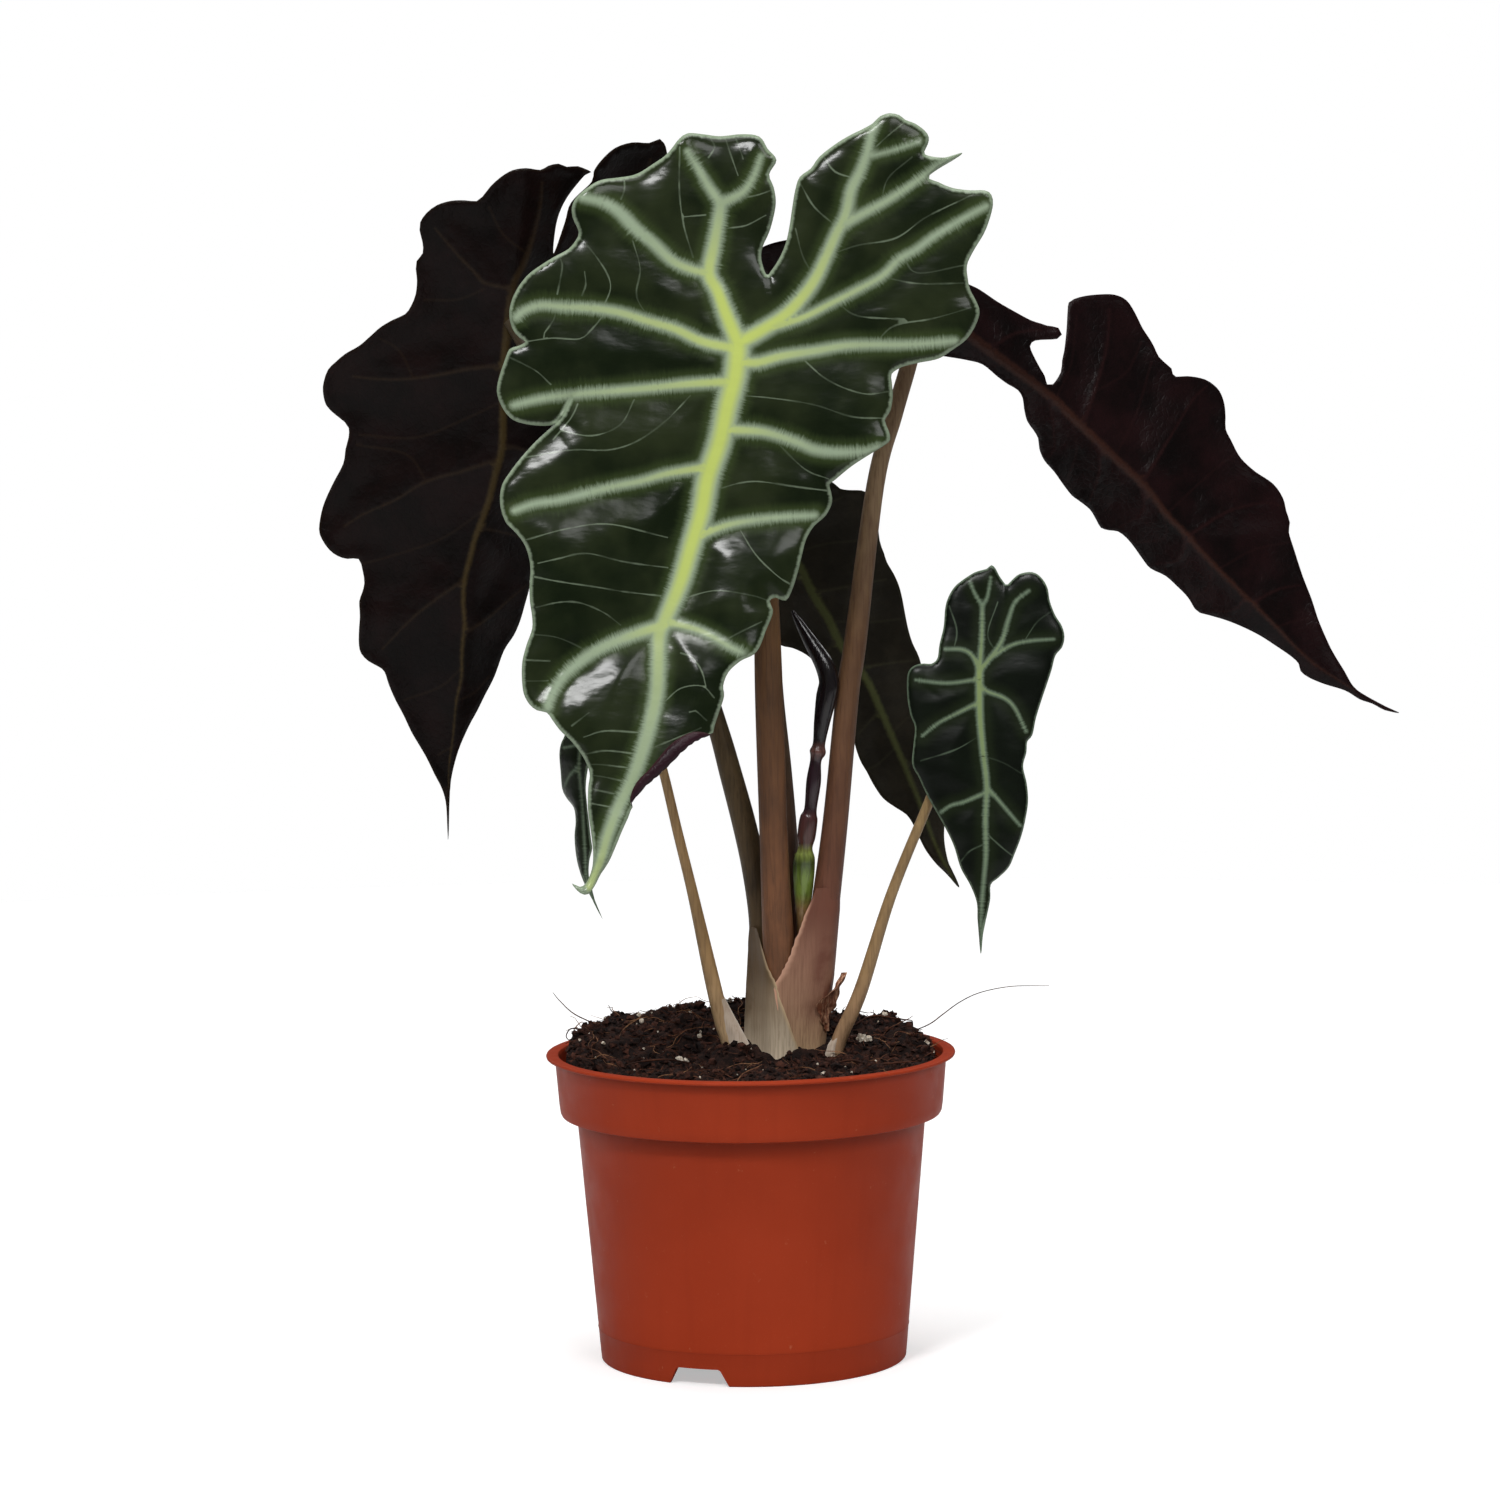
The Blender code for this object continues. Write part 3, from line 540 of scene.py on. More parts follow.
def strewing_tree():
    """Spreads points over faces and puts one of the shapes on each, turned and sized at random."""
    sizes = [
        ("Shapes", "Collection", None), ("Number per m2", "Float", 1000.0), ("Smallest", "Float", 0.5),
        ("Largest", "Float", 1.5), ("Flatness", "Float", 1.0), ("Least gap", "Float", 0.0),
        ("Seed", "Int", 1), ("Lift", "Float", 0.0), ("Finish", "Material", None),
    ]
    tree, given_in = new_tree("strewing", sizes)
    spread = add_node(
        tree, "GeometryNodeDistributePointsOnFaces",
        {"Mesh": given_in["Geometry"], "Distance Min": given_in["Least gap"],
         "Density Max": given_in["Number per m2"], "Seed": given_in["Seed"]},
        distribute_method="POISSON",
    )
    lift = add_node(tree, "ShaderNodeCombineXYZ", {"Z": given_in["Lift"]}).outputs[0]
    lifted = add_node(tree, "GeometryNodeSetPosition", {"Geometry": spread.outputs[0], "Offset": lift})
    shapes = add_node(tree, "GeometryNodeCollectionInfo", {"Collection": given_in["Shapes"],
                      "Separate Children": True, "Reset Children": True}).outputs[0]
    turn = add_node(tree, "FunctionNodeRandomValue", {"Seed": given_in["Seed"]}, data_type="FLOAT_VECTOR")
    turn.inputs[0].default_value = (-0.6, -0.6, 0.0)
    turn.inputs[1].default_value = (0.6, 0.6, math.tau)
    size = add_node(tree, "FunctionNodeRandomValue", {2: given_in["Smallest"], 3: given_in["Largest"],
                    "Seed": given_in["Seed"]}, data_type="FLOAT").outputs[1]
    flat = calc(tree, "MULTIPLY", size, given_in["Flatness"])
    scale = add_node(tree, "ShaderNodeCombineXYZ", {"X": size, "Y": size, "Z": flat}).outputs[0]
    strewn = add_node(
        tree, "GeometryNodeInstanceOnPoints",
        {"Points": lifted.outputs[0], "Instance": shapes, "Pick Instance": True,
         "Rotation": turn.outputs[0], "Scale": scale},
    ).outputs[0]
    end_tree(tree, strewn, given_in["Finish"], smooth=False)
    return tree


def top_of_peat(keep_off):
    """The peat's upper faces, except close round the stems and close to the pot's wall."""
    shape = bmesh.new()
    shape.from_mesh(peat_bed.data)
    away = []
    for face in shape.faces:
        spot = face.calc_center_median()
        near_stems = (spot.xy - CORM_SPOT).length < keep_off * MM
        if face.normal.z < 0.2 or near_stems or spot.xy.length > STREWN_RADIUS or spot.z < LOWEST_TOP:
            away.append(face)
    bmesh.ops.delete(shape, geom=away, context="FACES")
    return finished_mesh(shape, "peat_top")


strewing = strewing_tree()


# %% Grain and fibre shapes
def grain_shapes(name, count, detail, rough):
    """A few pebbles of about 1 mm, each pushed in and out by noise."""
    shelf = bpy.data.collections.new(name)
    for index in range(count):
        shape = bmesh.new()
        bmesh.ops.create_icosphere(shape, subdivisions=detail, radius=0.5 * MM)
        for vertex in shape.verts:
            push = noise.noise(vertex.co / MM * 2.3 + Vector((9.1 * index, 4.7, 0)))
            vertex.co *= 1 + rough * push
        mesh = finished_mesh(shape, f"{name}_{index}")
        shelf.objects.link(bpy.data.objects.new(mesh.name, mesh))
    return shelf


def sweep(points, radii, sides=3, wobble=None):
    """A closed tube along points in mm: returns its points and faces, with a cap at each end."""
    points = [Vector(p) for p in points]
    verts, faces = [], []
    guide = Vector((0, 0, 1))
    for index, point in enumerate(points):
        ahead = (points[min(index + 1, len(points) - 1)] - points[max(index - 1, 0)]).normalized()
        if index == 0 and abs(ahead.dot(guide)) > 0.9:
            guide = Vector((1, 0, 0))
        across = (guide - ahead * guide.dot(ahead)).normalized()
        guide = across
        aside = ahead.cross(across)
        for side in range(sides):
            angle = side * math.tau / sides
            radius = radii[index] * (wobble(index, angle) if wobble else 1.0)
            verts.append(point + (across * math.cos(angle) + aside * math.sin(angle)) * radius)
    for ring in range(len(points) - 1):
        low, high = ring * sides, (ring + 1) * sides
        for a in range(sides):
            b = (a + 1) % sides
            faces.append((low + a, low + b, high + b, high + a))
    faces.append(tuple(reversed(range(sides))))
    faces.append(tuple(range(len(verts) - sides, len(verts))))
    return [v * MM for v in verts], faces


def fibre_shapes(name, count, length, radius):
    """Thin hairs that lie nearly flat, each with its own bends."""
    shelf = bpy.data.collections.new(name)
    for index in range(count):
        heading, points = 0.0, [Vector((-length / 2, 0, 0.1))]
        for joint in range(8):
            heading += 0.55 * math.sin(2.4 * index + 1.3 * joint)
            climb = 0.22 * math.sin(1.9 * index + 0.8 * joint)
            stride = Vector((math.cos(heading), math.sin(heading), climb))
            points.append(points[-1] + stride * length / 8)
        radii = [radius * (1 - 0.6 * abs(i - 4) / 4) for i in range(9)]
        mesh = bpy.data.meshes.new(f"{name}_{index}")
        verts, faces = sweep(points, radii)
        mesh.from_pydata(verts, [], faces)
        shelf.objects.link(bpy.data.objects.new(mesh.name, mesh))
    return shelf


crumb_shelf = grain_shapes("crumb", 6, 1, 0.9)
perlite_shelf = grain_shapes("perlite", 6, 2, 0.9)
fibre_shelf = fibre_shapes("fibre", 7, 6.5, 0.17)
thread_shelf = fibre_shapes("thread", 5, 11.0, 0.12)


# %% Grain and fibre finishes
def make_perlite_finish():
    material, tree, shader = start_material("perlite_finish", 0.75, 0.3)
    where = place(tree)
    pores = step(tree, grain(tree, where, 1.8, 3.0), 0.35, 0.65)
    set_colour(tree, shader, mix(tree, pores, (172, 156, 136), (226, 216, 200)))
    add_bump(tree, shader, pores, 0.15, 0.8)
    return material


def make_fibre_finish(name, dark, light):
    material, tree, shader = start_material(name, 0.8, 0.15)
    patch = grain(tree, place(tree), 0.13, 2.0)
    fine = step(tree, grain(tree, place(tree), 1.5, 2.0), 0.4, 0.6, 0.0, 0.5)
    colour = mix(tree, step(tree, patch, 0.4, 0.6), dark, light)
    set_colour(tree, shader, mix(tree, fine, colour, (48, 28, 20)))
    return material


perlite_finish = make_perlite_finish()
fibre_finish = make_fibre_finish("fibre_finish", (48, 27, 20), (88, 52, 36))
thread_finish = make_fibre_finish("thread_finish", (96, 60, 42), (146, 106, 76))

# %% Strew them
# name, shapes, number to a square metre, smallest and largest size, flatness, least gap in mm, seed,
# lift in mm, finish, and how far from the corm's middle to keep off, in mm
STREWN = [
    ("peat_crumbs", crumb_shelf, 240000, 0.7, 2.4, 0.8, 0.9, 3, 0.2, crumb_finish, 12.5),
    ("peat_lumps", crumb_shelf, 16000, 2.2, 4.6, 0.75, 2.6, 9, 0.3, crumb_finish, 14.5),
    ("perlite_grains", perlite_shelf, 900, 1.1, 2.4, 0.8, 6.0, 12, 0.5, perlite_finish, 15.5),
    ("perlite_specks", crumb_shelf, 9000, 0.4, 0.95, 0.9, 2.5, 5, 0.5, perlite_finish, 14.0),
    ("peat_fibres", fibre_shelf, 60000, 0.3, 1.25, 1.1, 0.9, 8, 0.5, fibre_finish, 16.0),
    ("peat_threads", thread_shelf, 9000, 0.6, 1.6, 1.2, 3.0, 21, 1.0, thread_finish, 18.0),
]
for name, shelf, number, smallest, largest, flatness, gap, seed, lift, finish, keep_off in STREWN:
    values = {
        "Shapes": shelf, "Number per m2": number, "Smallest": smallest, "Largest": largest,
        "Flatness": flatness, "Least gap": gap * MM, "Seed": seed, "Lift": lift * MM, "Finish": finish,
    }
    add_piece(name, run_tree(name, top_of_peat(keep_off), strewing, values), "peat")

# %% The few big grains of perlite, as (x, y, size) in mm
BIG_PERLITE = [
    (-20.7, -11.5, 2.3), (-18.8, -13, 1.5), (32.5, -1, 3.1), (34.6, -2.6, 1.7), (-18, 27, 1.5), (-15, 0, 1.3),
    (-9.5, -22, 1.1), (-32, 14, 1.3), (18, 34, 1.8), (-6, 41, 1.5), (40, 20, 1.3), (-43, -6, 1.2),
]


def big_grains():
    """Each grain is a ball that is pushed and dented by noise, and rests on the peat."""
    shape = bmesh.new()
    for index, (x, y, size) in enumerate(BIG_PERLITE):
        made = bmesh.ops.create_icosphere(shape, subdivisions=3, radius=size / 2 * MM)["verts"]
        middle = Vector((x, y, soil_top(x, y) + clods(x, y) + 1.0)) * MM
        for vertex in made:
            push = noise.noise(vertex.co / MM * 0.9 + Vector((5.3 * index, 1.7, 0)))
            dent = noise.noise(vertex.co / MM * 2.2 + Vector((3.1, 6.4 * index, 0)))
            vertex.co = vertex.co * (1 + 0.7 * push + 0.35 * dent) + middle
    return finished_mesh(shape, "big_perlite", perlite_finish)


add_piece("big_perlite", big_grains(), "peat", sharp_degrees=60)


# %% [markdown]
# ## Stalks
# A petiole is a firm round stalk that thickens to a clasping base. Each follows its own bent path from the
# corm to the back of its blade, so one tree serves all six: a curve through the path's points, whose radius
# is set point by point, is swept with a circle. The colour runs from pale at the foot to reddish or olive
# brown above, with fine streaks along the stalk.

# %% Stalk finish
def height_ramp(tree, stops):
    """A colour for each height in mm on the plant, blended between the stops."""
    low, high = stops[0][0], stops[-1][0]
    share = add_node(tree, "ShaderNodeMapRange", {"Value": upward(tree), "From Min": low, "From Max": high})
    ramp = add_node(tree, "ShaderNodeValToRGB", {"Fac": share.outputs["Result"]})
    elements = ramp.color_ramp.elements
    while len(elements) < len(stops):
        elements.new(0.5)
    for element, (height, colour) in zip(elements, stops):
        element.position = (height - low) / (high - low)
        element.color = as_colour(colour)
    return ramp.outputs["Color"]


def make_stalk_finish(name, stops, streak_colour):
    material, tree, shader = start_material(name, 0.42, 0.22)
    along = place(tree, (1.0, 1.0, 0.045))
    streaks = step(tree, grain(tree, along, 1.6, 4.0, 0.6), 0.42, 0.68)
    blotches = step(tree, grain(tree, place(tree, (1, 1, 0.5)), 0.12, 3.0), 0.4, 0.7, 0.0, 0.45)
    colour = mix(tree, calc(tree, "MULTIPLY", streaks, 0.42), height_ramp(tree, stops), streak_colour)
    set_colour(tree, shader, mix(tree, blotches, colour, streak_colour))
    add_bump(tree, shader, streaks, 0.12, 0.5)
    return material


# The colours up each stalk as (height in mm, colour), and the colour of its streaks.
STALK_COLOURS = {
    "petiole_front": (
        [(86, (150, 104, 82)), (118, (128, 84, 56)), (160, (112, 75, 50)), (230, (104, 76, 47)),
         (290, (108, 92, 58))], (64, 46, 34)),
    "petiole_left": (
        [(86, (150, 106, 82)), (125, (100, 80, 54)), (180, (92, 76, 52)), (300, (66, 56, 40))],
        (52, 42, 32)),
    "petiole_right": (
        [(86, (150, 100, 78)), (118, (108, 64, 52)), (160, (102, 68, 49)), (210, (104, 77, 53)),
         (250, (128, 106, 80)), (300, (130, 108, 82))], (70, 46, 36)),
    "petiole_back": (
        [(86, (140, 98, 78)), (150, (88, 64, 50)), (238, (62, 60, 40))], (56, 44, 34)),
    "petiole_small_left": (
        [(86, (206, 176, 138)), (118, (172, 138, 94)), (210, (164, 134, 92))], (116, 90, 62)),
    "petiole_small_right": (
        [(86, (190, 152, 120)), (115, (156, 126, 88)), (196, (150, 128, 86))], (104, 82, 58)),
}
STALK_FINISHES = {}
for name, (stops, streak) in STALK_COLOURS.items():
    finish_name = name.removeprefix("petiole_") + "_stalk_finish"
    STALK_FINISHES[name] = make_stalk_finish(finish_name, stops, streak)

# %% Paths of the stalks, from the corm to the blade, as (x, y, z, radius) in mm
STALKS = {
    "petiole_front": [
        (8.5, -5.2, 84, 4.2), (8.6, -5.6, 102, 4.6), (8.4, -6.4, 124, 4.6), (7.8, -7.6, 140, 4.3),
        (7.3, -8.5, 158, 4.1), (6.5, -10, 195, 4.1), (5.9, -11.3, 225, 3.6), (4.6, -13, 252, 3.1),
        (2.4, -15.2, 276, 2.7), (0.4, -17.4, 291, 2.5), (-1.2, -21, 298.5, 2.2),
    ],
    "petiole_left": [
        (2.6, 3.2, 84, 4.0), (3.4, 2.9, 104, 4.0), (3.8, 2.8, 120, 3.9), (3.5, 3, 131, 3.8),
        (1.4, 3.4, 145, 3.6), (-1.4, 4, 158, 3.5), (-5, 5, 172, 3.3), (-8.5, 6.2, 185, 3.0),
        (-15, 9, 205, 2.8), (-26, 12.8, 231, 2.7), (-39, 17, 257, 2.6), (-53, 21, 281, 2.5),
        (-62.5, 24, 295, 2.4), (-68.5, 27.4, 304.5, 2.1),
    ],
    "petiole_right": [
        (16.6, -0.4, 84, 4.1), (17.5, -0.8, 103, 4.6), (19.6, -1.2, 113, 4.5), (22, -1.4, 131, 4.2),
        (25.5, -0.8, 158, 3.7), (29.4, 0.3, 195, 3.4), (31.8, 1, 210, 3.3), (38.2, 3.2, 256, 2.6),
        (43.8, 5.0, 276, 2.5), (48.4, 7.0, 291, 2.4), (50.8, 9.5, 300.5, 2.3), (52, 13.8, 307.5, 2.1),
    ],
    "petiole_back": [
        (11, 6.6, 84, 4.0), (11.4, 6.3, 104, 4.0), (11.6, 6.2, 125, 3.7), (11.2, 6.8, 150, 3.4),
        (9.8, 8.5, 172, 3.2), (7.9, 12, 195, 2.9), (7.2, 19, 218, 2.6), (8.3, 27, 232, 2.4),
        (9.8, 33.6, 239, 2.2), (10.7, 36.4, 240.4, 2.0),
    ],
    "petiole_small_left": [
        (-4, -4.6, 84, 2.6), (-6.4, -5.4, 94.5, 2.4), (-8.2, -6, 100, 2.3), (-11.1, -7, 113, 2.2),
        (-16.3, -8.5, 138, 1.6), (-20.4, -9.8, 156, 1.45), (-24.6, -11.5, 175, 1.35),
        (-29.6, -12.6, 193, 1.3), (-34.4, -13.2, 205, 1.3), (-37.2, -13.3, 211, 1.25),
        (-39.6, -13.2, 213, 1.1),
    ],
    "petiole_small_right": [
        (23.6, -5.2, 84, 2.3), (26, -6, 94.5, 2.2), (32.3, -8, 109, 2.05), (41.3, -9.6, 137, 1.6),
        (52, -10.0, 163, 1.45), (60, -9.2, 182, 1.35), (65.6, -8.6, 194.5, 1.3), (67.3, -11, 200.5, 1.2),
    ],
}


# %% Stalk tree
def between_middle(a, b, c, d, pieces):
    """Points on the smooth bend from b to c, which heads as a to c does at b and as b to d does at c."""
    square, cube = 2 * a - 5 * b + 4 * c - d, 3 * b - a - 3 * c + d
    return [0.5 * (2 * b + (c - a) * t + square * t**2 + cube * t**3) for t in np.arange(pieces) / pieces]


def with_ends(points):
    """The points, with one more beyond each end so that the end stretches can bend too."""
    return [2 * points[0] - points[1], *points, 2 * points[-1] - points[-2]]


def through_points(points, pieces):
    """A smooth run through points with any number of values, cut into pieces between each two."""
    points = with_ends([np.array(point, float) for point in points])
    run = []
    for four in zip(points, points[1:], points[2:], points[3:]):
        run += between_middle(*four, pieces)
    return [*run, points[-2]]


def stalk_tree():
    """Sweeps a circle along a curve, as wide at each point as the curve's radius there."""
    sizes = [("Sides", "Int", 24), ("Finish", "Material", None)]
    tree, given_in = new_tree("stalk", sizes)
    settings = {"Resolution": given_in["Sides"], "Radius": 1.0}
    circle = add_node(tree, "GeometryNodeCurvePrimitiveCircle", settings)
    radius = add_node(tree, "GeometryNodeInputRadius").outputs[0]
    tube = add_node(
        tree, "GeometryNodeCurveToMesh",
        {"Curve": given_in["Geometry"], "Profile Curve": circle.outputs[0],
         "Scale": radius, "Fill Caps": True},
    ).outputs[0]
    end_tree(tree, tube, given_in["Finish"])
    return tree


def stalk_curve(name, path, pieces):
    """A curve of one spline through a path in mm, with its radius at each point."""
    data = bpy.data.curves.new(name, "CURVE")
    data.dimensions = "3D"
    run = through_points(path, pieces)
    spline = data.splines.new("POLY")
    spline.points.add(len(run) - 1)
    for point, value in zip(spline.points, run):
        point.co = (*(value[:3] * MM), 1)
        point.radius = value[3] * MM
    return data


stalk = stalk_tree()
for name, path in STALKS.items():
    values = {"Sides": 28, "Finish": STALK_FINISHES[name]}
    stalk_mesh = run_tree(name + "_mesh", stalk_curve(name + "_path", path, 8), stalk, values)
    tan = "small" in name
    add_piece(name.replace("petiole", "stalk"), stalk_mesh, "petiole_tan" if tan else "petiole_brown", name)


# %% [markdown]
# ## How a leaf blade is made
# An alocasia blade is a thin sheet with a notch above the stalk's joint, thick pale veins, panels that swell
# between them like quilting, and a waved margin. Drawing it as one flat net first and giving it depth after
# keeps the outline exact. The net is a constrained Delaunay triangulation: the outline and every vein are
# edges in it, so a vein stays sharp however thin it is. Each point remembers how far it is from the veins
# and from the margin, and both the depth and the colours read that.

# %% Lines and distances
def smooth_line(points, spacing, closed=False):
    """A smooth line through (x, z) points, with its own points about one spacing apart."""
    points = [np.array(point, float) for point in points]
    points = [points[-1], *points, points[0], points[1]] if closed else with_ends(points)
    run = []
    for a, b, c, d in zip(points, points[1:], points[2:], points[3:]):
        run += between_middle(a, b, c, d, max(1, round(float(np.hypot(*(c - b))) / spacing)))
    if not closed:
        run.append(points[-2])
    return np.array(run)


def to_line(points, line):
    """For each point: its distance to a line, how far along the line that is, and on which side (+1 left)."""
    starts, spans = line[:-1], np.diff(line, axis=0)
    lengths = np.hypot(spans[:, 0], spans[:, 1])
    before = np.concatenate([[0.0], np.cumsum(lengths)])
    answers = []
    for part in np.array_split(points, max(1, len(points) // 3000)):
        rel = part[:, None, :] - starts[None]
        share = np.clip((rel * spans).sum(2) / np.maximum(lengths**2, 1e-9), 0, 1)
        gap = np.hypot(*np.moveaxis(rel - share[..., None] * spans, 2, 0))
        best = gap.argmin(1)
        row = np.arange(len(part))
        turn = spans[best, 0] * rel[row, best, 1] - spans[best, 1] * rel[row, best, 0]
        along = before[best] + share[row, best] * lengths[best]
        answers.append(np.stack([gap[row, best], along, np.where(turn > 0, 1.0, -1.0)]))
    return np.concatenate(answers, axis=1)


def inside(points, loop):
    """Which points lie inside a closed line: an odd number of its edges lies to their right."""
    ends = np.roll(loop, -1, axis=0)
    found = np.zeros(len(points), bool)
    for (ax, az), (bx, bz) in zip(loop, ends):
        if az != bz:
            level = (az > points[:, 1]) != (bz > points[:, 1])
            found ^= level & (points[:, 0] < (bx - ax) * (points[:, 1] - az) / (bz - az) + ax)
    return found


def line_length(line):
    return float(np.hypot(*np.diff(line, axis=0).T).sum())


def smooth01(value):
    """Goes smoothly from 0 to 1 while value does, and stays there."""
    value = np.clip(value, 0, 1)
    return value * value * (3 - 2 * value)


# %% The flat net of a blade
def leaf_net(leaf, spacing):
    """Flat points and triangles of a blade, with the outline and the veins as edges of the net."""
    rim = smooth_line(leaf["outline"], spacing, closed=True)
    closed_rim = np.vstack([rim, rim[:1]])
    fixed, edges = [rim], []
    count = len(rim)
    lines = [points for _, _, points in leaf["veins"]] + leaf.get("hairs", [])
    for points in lines:
        line = smooth_line(points, spacing)
        keep = inside(line, rim) & (to_line(line, closed_rim)[0] > 0.3 * spacing)
        line = line[keep]
        if len(line) > 1:
            fixed.append(line)
            edges += [(count + i, count + i + 1) for i in range(len(line) - 1)]
            count += len(line)
    fixed = np.vstack(fixed)
    low, high = rim.min(0), rim.max(0)
    tall = spacing * math.sqrt(0.75)
    grid = [
        (x, z)
        for row, z in enumerate(np.arange(low[1], high[1], tall))
        for x in np.arange(low[0] + 0.5 * spacing * (row % 2), high[0], spacing)
    ]
    grid = np.array(grid)
    grid = grid[inside(grid, rim)]
    grid = grid[to_line(grid, closed_rim)[0] > 0.55 * spacing]
    near = np.full(len(grid), 1e9)
    for points in lines:
        near = np.minimum(near, to_line(grid, smooth_line(points, spacing))[0])
    grid = grid[near > 0.5 * spacing]
    points = [Vector(p) for p in np.vstack([fixed, grid])]
    spots, _, faces, *_ = delaunay_2d_cdt(points, edges, [list(range(len(rim)))], 1, 1e-4)
    return np.array([tuple(p) for p in spots]), np.array(faces), closed_rim


# %% What each point of a blade knows about veins and margin
FAR = 60.0
VEIN_SHIFT = 37.0


def leaf_facts(points, leaf, rim, spacing):
    """Distances in mm to the nearest vein's side (rib), hair and margin (edge); where the point is along
    them (along, arc), how far off the vein's middle it is (centre) and how yellow and thick the vein is."""
    facts = {"rib": np.full(len(points), FAR)}
    for key in ("centre", "along", "yellow", "ridge"):
        facts[key] = np.zeros(len(points))
    facts["centre"] += 9.0
    for number, (widths, yellows, vein) in enumerate(leaf["veins"]):
        line = smooth_line(vein, spacing)
        gap, along, _ = to_line(points, line)
        share = along / line_length(line)
        half = 0.5 * np.interp(share, np.linspace(0, 1, len(widths)), widths)
        yellow = np.interp(share, np.linspace(0, 1, len(yellows)), yellows)
        closer = gap - half < facts["rib"]
        facts["rib"] = np.where(closer, gap - half, facts["rib"])
        facts["centre"] = np.where(closer, gap / half, facts["centre"])
        facts["along"] = np.where(closer, along + VEIN_SHIFT * number, facts["along"])
        facts["yellow"] = np.where(closer, yellow, facts["yellow"])
        swell = half * np.sqrt(np.clip(1 - (gap / half) ** 2, 0, 1))
        facts["ridge"] = np.maximum(facts["ridge"], swell)
    facts["hair"] = np.full(len(points), 20.0)
    for line in leaf.get("hairs", []):
        facts["hair"] = np.minimum(facts["hair"], to_line(points, smooth_line(line, spacing))[0])
    facts["edge"], facts["arc"], _ = to_line(points, rim)
    return facts


# %% Depth of a blade
# How far the midrib's fold runs on into the notch, how wide the quilting's and the margin's slopes are, and
# how long the waves are, in mm.
LOBE_REACH = 80.0
QUILT_SLOPE, MARGIN_SLOPE, TURNED_SLOPE = 6.5, 6.0, 1.6
LONG_WAVE, WRINKLE, MARGIN_WAVE = 34, 7, 15


def wavy(places, length, seed):
    """Noise at each (a, b) place, in waves that are about length mm long."""
    return np.array([noise.noise(Vector((a / length, seed, b / length))) for a, b in places])


def leaf_depth(points, leaf, facts):
    """Lean and fold as in the CAD model, then quilting, long waves, a waved margin and a rounded edge."""
    x, z = points.T
    base, by_x, by_z = leaf["lean"]
    midrib = np.array(leaf["veins"][0][2], float)
    back = midrib[0] - midrib[1]
    midrib = np.vstack([midrib[0] + LOBE_REACH * back / np.hypot(*back), midrib])
    gap, _, side = to_line(points, midrib)
    soft = np.hypot(gap, 2.5) - 2.5
    fold = np.where(side < 0, leaf["folds"][0], leaf["folds"][1])
    depth = base + by_x * x + by_z * (z - 200) + fold * soft
    panel = np.clip(facts["rib"], 0, None)
    edge = facts["edge"]
    above_notch = z - leaf["outline"][0][1]
    arch = leaf.get("arch", 0.0) * ((above_notch + 60) ** 2 - 1000)
    calm = 1 - leaf.get("calm_top", 0.0) * smooth01((above_notch + 75) / 50)
    quilt = leaf["quilt"] * calm * (1 - np.exp(-((panel / QUILT_SLOPE) ** 2))) * smooth01(edge / 9)
    long_wave = leaf["wave"] * calm * wavy(points, LONG_WAVE, leaf["seed"])
    wrinkle = 0.22 * wavy(points, WRINKLE, leaf["seed"] + 5) * smooth01(panel / 3)
    waves = [noise.noise(Vector((arc / MARGIN_WAVE, leaf["seed"], 2.2))) for arc in facts["arc"]]
    margin = leaf["margin"] * np.array(waves) * np.exp(-edge / MARGIN_SLOPE)
    turned = -1.1 * np.exp(-edge / TURNED_SLOPE)
    return depth + leaf["up"] * (quilt + long_wave + wrinkle + margin + turned + arch)


# %% The blade's two faces and rim
def roll_margin(points, depth, leaf):
    """Where the margin curls over towards the viewer, points past the fold line go round a small roll."""
    if "roll" not in leaf:
        return points, depth
    line, radius = np.array(leaf["roll"][0], float), leaf["roll"][1]
    line = smooth_line(line, 0.8)
    gap, along, side = to_line(points, line)
    length = line_length(line)
    past = np.where((side < 0) & (along > 0.01) & (along < length - 0.01), gap, 0.0)
    ahead = np.gradient(line, axis=0)
    before = np.concatenate([[0.0], np.cumsum(np.hypot(*np.diff(line, axis=0).T))])
    ahead = np.stack([np.interp(along, before, ahead[:, i]) for i in (0, 1)], axis=1)
    ahead /= np.hypot(ahead[:, 0], ahead[:, 1])[:, None]
    out = np.stack([ahead[:, 1], -ahead[:, 0]], axis=1)
    angle = np.minimum(past / radius, math.pi)
    reach = radius * np.sin(angle) - np.maximum(past - math.pi * radius, 0)
    lift = radius * (1 - np.cos(angle))
    return points + out * (reach - past)[:, None], depth + leaf["up"] * lift


